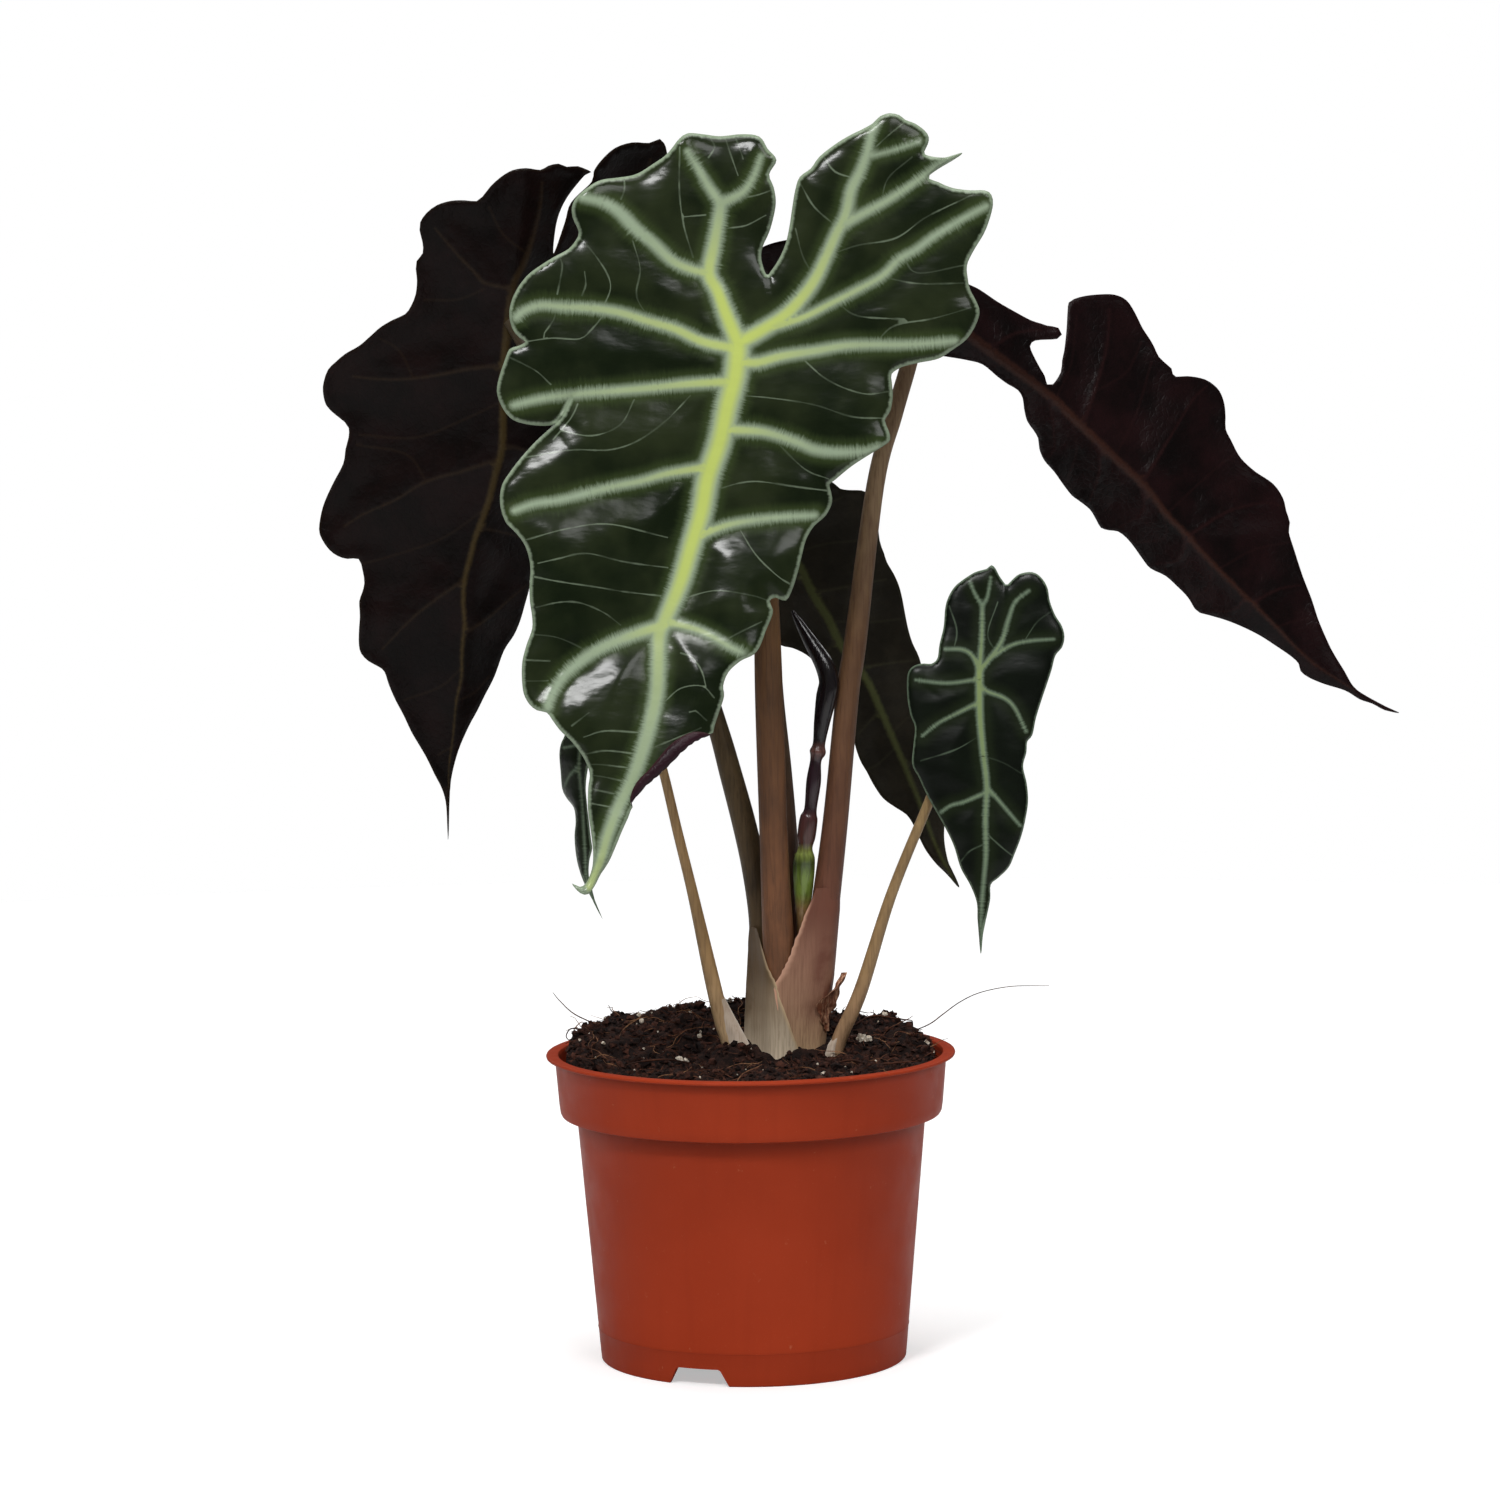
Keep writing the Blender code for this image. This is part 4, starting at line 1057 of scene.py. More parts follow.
def leaf_mesh(name, leaf, upper_finish, under_finish):
    """Two layers of the net, an upper face and an underside, joined round the rim by a strip."""
    flat, faces, rim = leaf_net(leaf, leaf["spacing"])
    facts = leaf_facts(flat, leaf, rim, leaf["spacing"])
    shown, depth = roll_margin(flat, leaf_depth(flat, leaf, facts), leaf)
    middle = np.stack([shown[:, 0], depth, shown[:, 1]], axis=1)
    a, b, c = (flat[faces[:, i]] for i in range(3))
    winding = (b[:, 0] - a[:, 0]) * (c[:, 1] - a[:, 1]) - (b[:, 1] - a[:, 1]) * (c[:, 0] - a[:, 0])
    forwards = winding > 0 if leaf["up"] < 0 else winding < 0
    faces = np.where(forwards[:, None], faces, faces[:, ::-1])
    a, b, c = (middle[faces[:, i]] for i in range(3))
    slants = np.cross(b - a, c - a)
    normals = np.zeros_like(middle)
    for i in range(3):
        np.add.at(normals, faces[:, i], slants)
    normals /= np.maximum(np.linalg.norm(normals, axis=1), 1e-9)[:, None]
    half = (0.14 + 0.13 * smooth01(facts["edge"] / 1.5))[:, None]
    ridge = (leaf["ridge"] * facts["ridge"] * smooth01(facts["edge"] / 4))[:, None]
    top = middle + normals * (half + 0.12 * ridge)
    under = middle - normals * (half + ridge)
    count = len(middle)
    pairs = {}
    for face in faces:
        for start, end in ((face[0], face[1]), (face[1], face[2]), (face[2], face[0])):
            pairs[(int(start), int(end))] = True
    border = [pair for pair in pairs if (pair[1], pair[0]) not in pairs]
    rim_faces = [(end, start, start + count, end + count) for start, end in border]
    mesh = bpy.data.meshes.new(name)
    all_faces = faces.tolist() + (faces[:, ::-1] + count).tolist() + rim_faces
    mesh.from_pydata((np.vstack([top, under]) * MM).tolist(), [], all_faces)
    mesh.materials.append(upper_finish)
    mesh.materials.append(under_finish)
    numbers = np.zeros(len(all_faces), int)
    numbers[len(faces):2 * len(faces)] = 1
    numbers[2 * len(faces):] = leaf.get("rim_finish", 0)
    mesh.polygons.foreach_set("material_index", numbers)
    for key in ("rib", "centre", "along", "yellow", "hair", "edge", "arc"):
        layer = mesh.attributes.new(key, "FLOAT", "POINT")
        layer.data.foreach_set("value", np.tile(facts[key], 2).astype(np.float32))
    mesh.shade_smooth()
    return mesh


# %% [markdown]
# ## Leaf finishes
# The upper side is a waxy dark green. Its veins are pale mint with a yellow-green core near the stalk, and
# their edges are feathered: the pale colour runs out into the green in short strokes across the vein. The
# underside is so deep a purple that it looks black, with brownish ribs. Both are shaders that read what each
# point knows about its veins, so no pattern slides when a leaf is bent.

# %% Upper side
def make_upper_finish(name, dark, light, mint, yellow, vein_size=1.0, roughness=0.19, specular=0.18):
    """Green panels, feathered pale veins with a yellow core, a pale margin and thin broken hairs."""
    material, tree, shader = start_material(name, roughness, specular)
    rib, along, edge = attribute(tree, "rib"), attribute(tree, "along"), attribute(tree, "edge")
    across = add_node(tree, "ShaderNodeCombineXYZ", {
        "X": calc(tree, "MULTIPLY", along, 1.5), "Y": calc(tree, "MULTIPLY", rib, 0.2)}).outputs[0]
    patchy = step(tree, grain(tree, place(tree), 0.11, 2.0), 0.35, 0.65, 0.25, 1.2)
    strokes = calc(tree, "SUBTRACT", grain(tree, across, 1.0, 5.0, 0.75), 0.5)
    strokes = calc(tree, "MULTIPLY", strokes, patchy)
    frayed = calc(tree, "MULTIPLY_ADD", strokes, -3.6 * vein_size, rib)
    pale = step(tree, frayed, -1.2 * vein_size, 1.3 * vein_size, 1.0, 0.0)
    halo = step(tree, frayed, 0.2, 4.0, 0.38 * vein_size**2, 0.0)
    round_edge = calc(tree, "MULTIPLY", attribute(tree, "arc"), 0.8)
    round_edge = add_node(tree, "ShaderNodeCombineXYZ", {"X": round_edge}).outputs[0]
    fringe = calc(tree, "SUBTRACT", grain(tree, round_edge, 1.0, 3.0), 0.5)
    fringe = calc(tree, "MULTIPLY_ADD", fringe, -1.2 * vein_size, edge)
    margin = step(tree, fringe, 0.3 * vein_size, 1.35 * vein_size, 1.0, 0.0)
    hair_width = step(tree, grain(tree, place(tree), 0.25, 2.0), 0.3, 0.7, 0.22, 0.45)
    hair = calc(tree, "SUBTRACT", 1.0, calc(tree, "DIVIDE", attribute(tree, "hair"), hair_width))
    broken = step(tree, grain(tree, place(tree), 0.09, 3.0), 0.42, 0.62, 0.1, 0.42)
    hair = calc(tree, "MULTIPLY", step(tree, hair, 0.0, 0.9), broken)
    cloud = step(tree, grain(tree, place(tree), 0.05, 3.0), 0.3, 0.72)
    panel = mix(tree, cloud, dark, light)
    panel = mix(tree, halo, panel, (70, 86, 46))
    core = step(tree, attribute(tree, "centre"), 0.15, 0.95, 1.0, 0.0)
    core = calc(tree, "MULTIPLY", core, attribute(tree, "yellow"))
    lines = step(tree, strokes, -0.16, 0.2, 0.0, 0.35)
    vein = mix(tree, core, mix(tree, lines, mint, (128, 146, 118)), yellow)
    share = calc(tree, "MAXIMUM", pale, calc(tree, "MAXIMUM", calc(tree, "MULTIPLY", margin, 0.85), hair))
    set_colour(tree, shader, mix(tree, share, panel, vein))
    add_bump(tree, shader, grain(tree, place(tree, (0.45, 1.0, 1.0)), 0.17, 3.0, 0.42), 0.5, 0.6)
    return material


# %% Underside
def make_under_finish(name, dark, light, rib_colour, side_rib_colour, roughness, specular):
    """A dark cloudy sheet with browner ribs and fine creases."""
    material, tree, shader = start_material(name, roughness, specular)
    rib = attribute(tree, "rib")
    cloud = step(tree, grain(tree, place(tree), 0.06, 4.0, 0.6), 0.32, 0.7)
    colour = mix(tree, cloud, dark, light)
    fine = step(tree, attribute(tree, "hair"), 0.1, 0.7, 0.35, 0.0)
    colour = mix(tree, fine, colour, side_rib_colour)
    frayed = calc(tree, "MULTIPLY_ADD", grain(tree, place(tree), 0.8, 2.0), 0.7, rib)
    rib_share = step(tree, frayed, -0.9, 0.5, 1.0, 0.0)
    main = step(tree, attribute(tree, "yellow"), 0.3, 0.9)
    rib_mix = mix(tree, main, side_rib_colour, rib_colour)
    colour = mix(tree, rib_share, colour, rib_mix)
    line = step(tree, attribute(tree, "edge"), 0.1, 0.8, 0.4, 0.0)
    set_colour(tree, shader, mix(tree, line, colour, side_rib_colour))
    cells = add_node(tree, "ShaderNodeTexVoronoi", {"Vector": place(tree), "Scale": 0.5},
                     feature="DISTANCE_TO_EDGE").outputs["Distance"]
    creases = step(tree, cells, 0.0, 0.15)
    height = calc(tree, "MULTIPLY_ADD", creases, 0.12, grain(tree, place(tree), 0.2, 2.0))
    add_bump(tree, shader, height, 0.5, 0.6)
    return material


green_top = make_upper_finish(
    "green_upper_side", (16, 24, 10), (36, 43, 24), (143, 158, 134), (180, 194, 101))
small_green_top = make_upper_finish(
    "small_green_upper_side", (5, 9, 4), (11, 18, 8), (99, 115, 96), (124, 141, 88),
    0.5, 0.32, 0.16)
purple_back = make_under_finish(
    "purple_underside", (11, 6, 6), (27, 12, 13), (48, 27, 21), (34, 17, 17), 0.34, 0.11)
left_back = make_under_finish(
    "olive_ribbed_underside", (9, 5, 4), (22, 11, 10), (62, 50, 27), (38, 28, 19),
    0.36, 0.09)
plum_back = make_under_finish(
    "plum_underside", (34, 14, 22), (46, 22, 30), (104, 112, 70), (66, 42, 40), 0.4, 0.15)
grey_back = make_under_finish(
    "grey_green_underside", (28, 25, 18), (42, 38, 28), (70, 74, 42), (49, 47, 33),
    0.45, 0.1)


# %% [markdown]
# ## The six blades
# Each blade has an outline, a lean and fold that place it in depth, and its veins as (widths along it, how
# yellow it is along it, its points). The first vein is the midrib. Hairs are the finest veins, a few tenths
# of a millimetre wide. All points are (x, z) in mm as seen from the front.

# %% Front blade: the large green one
FRONT_BLADE = {
    "lean": (-43.6, 0, 0.22), "folds": (-0.07, -0.07), "up": -1, "seed": 1.3,
    "spacing": 1.15, "quilt": 1.7, "wave": 2.6, "margin": 2.6, "ridge": 0.5, "arch": 0.0005, "calm_top": 0.6,
    "roll": ([(-33.5, 169.5), (-32.5, 171), (-29.5, 174.5), (-26.5, 177), (-22.5, 180.6), (-18.8, 184.2),
              (-15, 187), (-10.5, 188.8), (-8.6, 189.4)], 0.7),
    "outline": [
        (7, 317), (5.6, 321.3), (6, 325), (7.9, 329.2), (9.3, 334), (9.9, 338), (9.3, 342), (8.1, 345.6),
        (10.2, 349.6), (7.7, 352.9), (6.2, 355.6), (4.2, 356.8), (-0.1, 357.1), (-5.8, 356.6), (-10.6, 357.2),
        (-15, 357.5), (-17.4, 356), (-19.4, 353.5), (-21.4, 351.3), (-25.1, 348.8), (-29.9, 346),
        (-34.8, 345.1), (-39.6, 344.5), (-42.9, 342.9), (-46.7, 339.8), (-48.2, 337), (-48, 333.8),
        (-46.4, 329.8), (-47.2, 327.4), (-49.5, 324.8), (-53.4, 322.7), (-57.8, 320), (-61, 317.6),
        (-63.8, 314.1), (-65.7, 310.1), (-66.3, 306.3), (-65.3, 302.3), (-63.3, 299.9), (-61.7, 298.7),
        (-64.1, 297.5), (-66.3, 296.7), (-67.7, 293.5), (-69.3, 288.8), (-70, 284.9), (-69, 281.3),
        (-67, 278.1), (-64.3, 276.2), (-59.1, 275.1), (-54.2, 275.2), (-52, 277), (-48.7, 283.5),
        (-51.1, 278.3), (-54.8, 274.4), (-59.1, 270.5), (-63.1, 266.2), (-66.4, 262), (-68.6, 258.6),
        (-69.3, 254.6), (-68.9, 251.2), (-67.5, 247.8), (-64.9, 245.1), (-62.6, 242.1), (-61.3, 238.7),
        (-60.7, 234.9), (-61, 229.9), (-60.9, 225.5), (-60.4, 221.7), (-60.4, 218), (-62, 213.5),
        (-63.2, 209), (-63.4, 204.5), (-62.9, 200), (-61.3, 197), (-59.1, 195.3), (-56.4, 194.7),
        (-54.9, 192.8), (-52.7, 189.8), (-49.3, 186.4), (-46.3, 182.3), (-44.4, 177.8), (-44.8, 173.7),
        (-44.9, 167.7), (-44.1, 161.7), (-43.5, 155.8), (-43.9, 151.4), (-45.5, 147.7), (-47.3, 146.6),
        (-49.5, 147.6), (-47.2, 145), (-45, 144.7), (-43.1, 147), (-41.6, 149.9), (-39.3, 153.2),
        (-37.4, 157.2), (-35.5, 161.6), (-33.7, 165.4), (-32.4, 168.2), (-29, 170), (-24, 173.5),
        (-18.5, 177.5), (-14, 182), (-10, 187.2), (-9.2, 190.4), (-7.9, 194.1), (-6.4, 198.6),
        (-6.6, 201.6), (-5.1, 205.3), (-1.6, 208.4), (2.2, 210.2), (4.1, 212.8), (5.6, 216.6), (7.2, 220.2),
        (7.7, 222.4), (6.8, 224.8), (8.4, 225.8), (11.5, 225), (13.4, 228.4), (14.9, 232.9), (16.1, 237.5),
        (17.4, 242), (19.7, 245.7), (23.1, 248.7), (24.9, 252.4), (24.6, 255.4), (24.2, 257.4),
        (25.7, 258.6), (30.5, 262.5), (35.3, 265.6), (39.3, 268), (41.6, 269.9), (41.1, 272.7),
        (40.2, 275.4), (41.8, 278.2), (42.5, 282.2), (42.3, 286.1), (42.3, 288.5), (45.2, 290.4),
        (50, 291.6), (55.6, 292.7), (59.6, 295.1), (63.6, 298), (66, 301.4), (67.5, 305.6), (66.6, 308.8),
        (65, 311.9), (64.3, 315.1), (64.1, 319.1), (66, 323.1), (68.9, 327.8), (70.6, 331.8), (71.7, 336.1),
        (71.3, 338.9), (69.5, 340.2), (65.1, 340.3), (60.4, 341), (56.4, 342.7), (53.8, 344.7),
        (63.2, 350.8), (58, 349.7), (52.6, 350.7), (53.4, 353.5), (53.8, 355.5), (52.6, 357.5),
        (49.9, 359.5), (47.1, 360.6), (45.5, 361.9), (42.7, 362.5), (39.9, 361.6), (37.9, 359.7),
        (35, 358.1), (31, 356.2), (27, 353.8), (22.5, 350.3), (20.1, 347.1), (16.9, 344.7), (15.6, 341.1),
        (14.7, 336.3), (13.8, 330.7), (12.7, 326), (10.6, 321.3), (8.4, 318.1),
    ],
    "veins": [
        ((7.6, 7.4, 7, 6.2, 4.6, 4.2, 3.6, 3.2), (1, 1, 1, 0.9, 0.35, 0.1, 0.1, 0.5), [
            (-1.3, 297.6), (-2.1, 289), (-4.5, 280), (-6.8, 270), (-10.3, 260), (-12.3, 250), (-15.4, 240),
            (-18.5, 230), (-22.8, 220), (-24.5, 216), (-24.8, 209.5), (-25.3, 200), (-27.3, 191),
            (-29.6, 183.5), (-32.3, 176), (-36.2, 168.5), (-39.3, 161), (-41.6, 153.6), (-44.7, 146.5)]),
        ((6.4, 5.2, 4.6, 3.6), (1, 0.95, 0.5, 0.1), [
            (-1.3, 297.6), (-4.8, 306.3), (-7.1, 312.7), (-9.4, 317.5), (-7.9, 325.5), (-6.4, 333.4),
            (-5.8, 337.4)]),
        ((3.2, 2.4, 1.6), (0.1, 0), [(-5.8, 337.4), (-9.2, 342.2), (-11.5, 346.2), (-15.1, 352.2)]),
        ((3.2, 2.2, 1.4), (0.1, 0), [(-5.8, 337.4), (0.4, 340.5), (3.7, 345.1), (5.8, 350.5)]),
        ((3.2, 3.2, 3.4, 2.2), (0.5, 0.1, 0, 0), [
            (-9.4, 317.5), (-14.2, 318.6), (-19.8, 321.2), (-25.3, 326.4), (-30.1, 330.4), (-34.9, 335.3),
            (-39.6, 338.1), (-45.2, 339.5)]),
        ((4.2, 3.4, 3, 2.2), (0.8, 0.5, 0.2, 0), [
            (-1.5, 296), (-11.2, 298.1), (-19.1, 301.8), (-27.1, 304.2), (-35, 306.7), (-42.9, 308),
            (-50.9, 308.5), (-57.3, 309), (-62, 307.5), (-64.4, 305.5)]),
        ((3.8, 3, 2.6, 2), (0.8, 0.3, 0.1, 0), [
            (-2.5, 286.8), (-14.5, 286.3), (-27.2, 285.2), (-36.8, 284.5), (-47.1, 283.8), (-56.7, 282.7),
            (-65.4, 280.8)]),
        ((3.4, 2.6, 2.4, 1.8), (0.7, 0.2, 0, 0), [
            (-9.2, 262.9), (-21.7, 261), (-29.3, 259), (-37, 257.6), (-44.6, 255.8), (-52.3, 254),
            (-59.9, 252.9), (-65.2, 251.1)]),
        ((4.2, 3.4, 3, 2.4), (0.6, 0.1, 0, 0), [
            (-22.8, 218.4), (-29.6, 216.5), (-37.2, 213.9), (-43.3, 211), (-48.6, 207.3), (-52.4, 203.6),
            (-55.1, 199.2), (-56.2, 195.8)]),
        ((5.6, 4.8, 3.8, 3.2, 2.2), (1, 0.8, 0.4, 0.1, 0), [
            (-1.3, 297.6), (4.8, 300.8), (12, 305.3), (16.8, 310.1), (20.9, 315.6), (24.1, 321.9),
            (27, 328.2), (29.8, 333.8), (31.5, 341), (34, 345.8), (36.1, 351.3), (37.3, 356.1),
            (38.6, 359.3)]),
        ((2.8, 2.2, 1.6), (0.1, 0), [
            (29.5, 331), (33.8, 333.5), (40.3, 336.9), (46.7, 340.8), (52.3, 344.7), (56.3, 347.9),
            (61, 350)]),
        ((1.2, 1, 0.8), (0, 0), [(35.6, 350), (43.7, 352), (50.9, 354.2)]),
        ((3, 2.6, 2.2, 1.8), (0.7, 0.3, 0, 0), [
            (6, 301.2), (16.8, 304.5), (24.7, 308.3), (32.7, 312.3), (39.9, 316.2), (44.8, 320.9),
            (49.7, 323.6), (54.5, 327.1), (61, 331), (65.8, 333.7), (69.8, 335.7)]),
        ((4, 3.2, 2.6, 2), (0.8, 0.3, 0.1, 0), [
            (-1.5, 292.6), (3.9, 292), (11.1, 293.8), (20.6, 295.2), (28.6, 296.5), (36.5, 296.8),
            (44.5, 296.7), (52.4, 297), (60.4, 297.7)]),
        ((3.8, 3, 2.8, 2), (0.7, 0.2, 0, 0), [
            (-5.6, 273.2), (4.4, 272.6), (10.7, 271), (16.2, 269), (20.2, 267.3), (26.5, 266.5),
            (34.4, 266.8), (38.4, 268)]),
        ((3.2, 2.6, 2.2, 1.8), (0.6, 0.1, 0), [
            (-14, 242.6), (-8.1, 245.2), (-2.8, 246.7), (4.8, 247.8), (12.5, 248.4), (20, 248.7)]),
        ((3, 2.4, 2), (0.5, 0), [
            (-23, 219.4), (-14.6, 217.4), (-9.3, 215.1), (-4.7, 212.4), (-0.9, 210.6)]),
    ],
    "hairs": [
        [(-39.5, 308.5), (-37.5, 313.5), (-38.5, 318), (-42.5, 324), (-47, 329)],
        [(-13.9, 322.2), (-16.5, 331.6), (-17.6, 341.5), (-17.3, 353.6)], [(-16.5, 333.7), (-10.2, 334.2)],
        [(-33.3, 345), (-33.3, 341.5), (-34.3, 338.9)],
        [(-52.1, 323), (-51.1, 320.6), (-51.6, 316.9), (-52.6, 312.2)],
        [(-44.8, 318.5), (-44.5, 314.8), (-45.6, 311.7)], [(-53.2, 306.8), (-53.7, 304.9), (-56.3, 301.2)],
        [(-40, 305.5), (-42.7, 302.3), (-46.4, 299.4), (-54.2, 299.7), (-61, 298.9)],
        [(-67.3, 294.9), (-62.6, 292.6), (-58.4, 290.2), (-54.7, 286.6)],
        [(-4.3, 356), (-2.9, 351.6), (-0.8, 345.3)], [(-1.4, 356.3), (0.8, 350)],
        [(-8.9, 356.3), (-7.4, 353.5), (-9.2, 350.5)], [(-4.5, 330.3), (1.3, 331.1), (7, 334)],
        [(-2.9, 338.9), (3.8, 339.5), (8.6, 341)], [(-25, 303), (-30, 311), (-29, 319), (-31, 327)],
        [(-15, 283), (-22, 276), (-30, 270.5), (-38, 268), (-49, 268), (-62, 266)],
        [(-31, 282), (-35, 275), (-43, 272), (-52, 273.5)], [(-47, 281), (-49, 277), (-54, 271)],
        [(-58.5, 236.4), (-52.7, 237.7), (-44.8, 239), (-34.2, 236.4), (-22, 234.5)],
        [(-59.5, 232.6), (-51.3, 231), (-42.8, 229.6), (-34.2, 228), (-24, 226.6)],
        [(-59.1, 224.1), (-52.5, 225.5), (-46.6, 225.1), (-40.1, 222.2), (-35.5, 218.6)],
        [(-60.3, 216.4), (-54.4, 215.8), (-50.4, 214.4), (-46.6, 212.4)], [(-62, 209.3), (-55.5, 209)],
        [(-62.4, 203.4), (-56, 203.4)], [(-49.3, 191), (-44.4, 194.6)],
        [(-62, 243), (-50, 246), (-38, 247), (-22, 243)],
        [(-46, 187.8), (-39.9, 189.5), (-30.4, 188.8)], [(-45.6, 183), (-39.8, 184), (-32, 183)],
        [(-44.8, 180.1), (-41, 180.1), (-33, 179.1)], [(-44.6, 177.2), (-40.4, 176.7), (-34.8, 175.4)],
        [(-44.3, 173.6), (-37.5, 172)], [(-44, 169.5), (-38.5, 168.4)],
        [(-23, 197.3), (-18.4, 201), (-12.5, 201.6), (-9.2, 198.3)],
        [(-18.4, 210.7), (-15.1, 209.4), (-12.5, 205.5), (-11.5, 201.6)],
        [(-16.1, 194.4), (-14.5, 194.8), (-11.4, 192)], [(-27, 184.4), (-19, 187.6), (-13, 190)],
        [(-7, 213.4), (-1.6, 216.4), (4.5, 219.2)], [(-2, 246), (3, 238), (9, 232), (12.6, 229.5)],
        [(-17, 226), (-8, 228), (2, 226.5), (7, 224.6)], [(-9, 256), (2, 258.5), (14, 257), (23.6, 255.6)],
        [(8, 271), (17, 262), (24, 259)], [(-3, 283), (8, 282), (20, 280), (31, 276.5), (40, 276)],
        [(16, 294), (24, 287), (34, 283), (41.5, 283.5)], [(37, 296), (43, 302), (54, 304), (65, 307)],
        [(27, 309), (33, 305), (46, 304)], [(40, 316), (50, 314), (63, 314)],
        [(24, 322), (33, 325), (44, 327), (53, 333), (66, 339)], [(46, 322), (50, 317), (63, 319)],
        [(20.9, 316), (17.5, 322), (15.5, 330)], [(27.8, 330), (21, 336), (17, 343)],
        [(33, 344), (27, 346), (24, 350)], [(36, 350.5), (42, 356), (47, 360)],
        [(40, 337), (42, 344), (49, 350)],
    ],
}

# %% Left blade: its underside faces the viewer
LEFT_BLADE = {
    "lean": (55, 0, -0.25), "folds": (0.15, 0.8), "up": 1, "seed": 4.1,
    "spacing": 1.6, "quilt": 1.7, "wave": 2.4, "margin": 2.6, "ridge": 0.5, "rim_finish": 1,
    "outline": [
        (-44.1, 347.9), (-47.8, 349.5), (-51, 349.3), (-53.4, 350.2), (-56.3, 349.6), (-58.6, 348.4),
        (-62.7, 348.9), (-66.8, 348.3), (-70.3, 346.3), (-73.3, 343.7), (-75.7, 340.8), (-77.5, 339.5),
        (-81, 339.8), (-85, 339.7), (-89.2, 338.5), (-92.4, 336.2), (-94.3, 333.6), (-94.6, 331.3),
        (-93.9, 327.8), (-94, 324.6), (-95.9, 322.3), (-96.2, 320), (-95.9, 316.7), (-96.4, 312.6),
        (-97.9, 309.1), (-99.8, 306.7), (-103.4, 305.1), (-107.1, 303), (-110.2, 300.4), (-113.8, 297.5),
        (-118, 295.2), (-121, 292.8), (-123.4, 290.5), (-124.8, 287), (-125.2, 284), (-124.5, 279.9),
        (-122, 277.1), (-119.2, 274.8), (-118, 273), (-118.1, 270.2), (-119.1, 266.7), (-119.9, 262.4),
        (-123, 256.8), (-125.7, 251.7), (-127.2, 247.6), (-128, 242.6), (-127.2, 239.7), (-125.1, 236.4),
        (-122.6, 234.4), (-119.8, 233.5), (-116.4, 233.4), (-115.3, 229.9), (-114.8, 226.1), (-115.5, 223.2),
        (-116.4, 220.6), (-116.3, 216.1), (-116.9, 210.9), (-117.1, 207.1), (-116.5, 204.5), (-114.4, 202.2),
        (-111.3, 200.5), (-109.5, 198.9), (-108.3, 194.6), (-106.6, 190), (-104.2, 185.1), (-101.9, 179.9),
        (-100.1, 176.6), (-97.7, 172.2), (-95.2, 167), (-93, 162.6), (-91.9, 157), (-91.8, 146.5),
        (-91, 157), (-90.7, 161.5), (-90.3, 165.5), (-89, 170.8), (-87.2, 176), (-84.5, 181.9),
        (-81.9, 186.5), (-79.6, 191), (-76.5, 196.9), (-73.5, 204.7), (-70.5, 209.2), (-68.5, 213.6),
        (-67.1, 218.1), (-65.4, 224), (-65, 227.8), (-60, 238), (-54, 248), (-50, 258), (-46, 268),
        (-42, 280), (-38, 292), (-32, 303), (-27, 315), (-23, 328), (-20, 340), (-21.8, 353.2),
        (-22.7, 356.5), (-23.9, 357.7), (-27.1, 356.5), (-32, 356.6), (-37, 354.9), (-41, 351.3),
        (-43.3, 348), (-44, 345), (-50, 339), (-52, 333), (-55.5, 324), (-54.5, 333), (-51.5, 340),
        (-45.9, 347),
    ],
    "veins": [
        ((3.2, 3, 2.6, 2, 1.2, 0.7), (1, 1, 1, 0.9), [
            (-69, 306), (-71, 290), (-71.6, 275.2), (-72.1, 266.6), (-74.6, 258), (-76.7, 250.3),
            (-81, 239.5), (-82.4, 234.4), (-84.2, 228), (-85, 221.6), (-84.8, 214), (-85.8, 205.6),
            (-86.3, 197), (-88.2, 189), (-89.3, 179.3), (-90.7, 169.5), (-91.2, 160), (-91.6, 149)]),
        ((3.4, 2.4, 1.4), (0.6, 0.2), [
            (-69, 306), (-67.6, 314.6), (-63.9, 322.2), (-61, 331), (-59.1, 338.6), (-58.5, 345)]),
        ((2.2, 1.4), (0.3, 0.1), [
            (-67.6, 314), (-75.7, 315.9), (-78.5, 318.9), (-83, 323.6), (-87.4, 328.9), (-90, 332)]),
        ((2.2, 1.4), (0.3, 0), [
            (-71, 291.5), (-81, 290.6), (-89.8, 288.9), (-98.6, 287.8), (-107.4, 287.7), (-116, 288.6)]),
        ((2.2, 1.3), (0.3, 0), [
            (-72.9, 263.6), (-84, 260), (-94.8, 257), (-104.5, 251.5), (-114, 247.3), (-120.4, 243.4)]),
        ((2, 1.2), (0.2, 0), [(-84.4, 227), (-92, 222), (-101, 215), (-110, 206)]),
        ((2, 1.2), (0.2, 0), [(-84.8, 211), (-78.7, 214.7), (-72.4, 219.9), (-66.4, 224.6)]),
        ((2.2, 1.3), (0.3, 0), [(-72, 268), (-66, 266), (-58, 262), (-51, 261)]),
        ((2.4, 1.4), (0.3, 0), [(-69.6, 300), (-58, 302), (-46, 305), (-35, 310)]),
        ((2.2, 1.4), (0.3, 0), [(-68.6, 308), (-58, 316), (-42, 326), (-32, 340), (-27, 352)]),
        ((1.8, 1.1), (0.2, 0), [(-79.5, 243), (-72, 241), (-64, 238)]),
    ],
    "hairs": [
        [(-76, 314), (-84, 311), (-94, 311)], [(-73, 280), (-84, 275), (-98, 270), (-115, 271)],
        [(-77, 249), (-90, 240), (-104, 235), (-115, 232)], [(-86, 200), (-93, 194), (-104, 190)],
        [(-88, 190), (-83, 192), (-78, 197)], [(-63, 324), (-70, 330), (-74, 338)],
        [(-98, 288), (-102, 296), (-108, 300)], [(-95, 257), (-101, 265), (-116, 268)],
        [(-72, 285), (-60, 283), (-46, 281)], [(-89, 176), (-94, 173)],
    ],
}

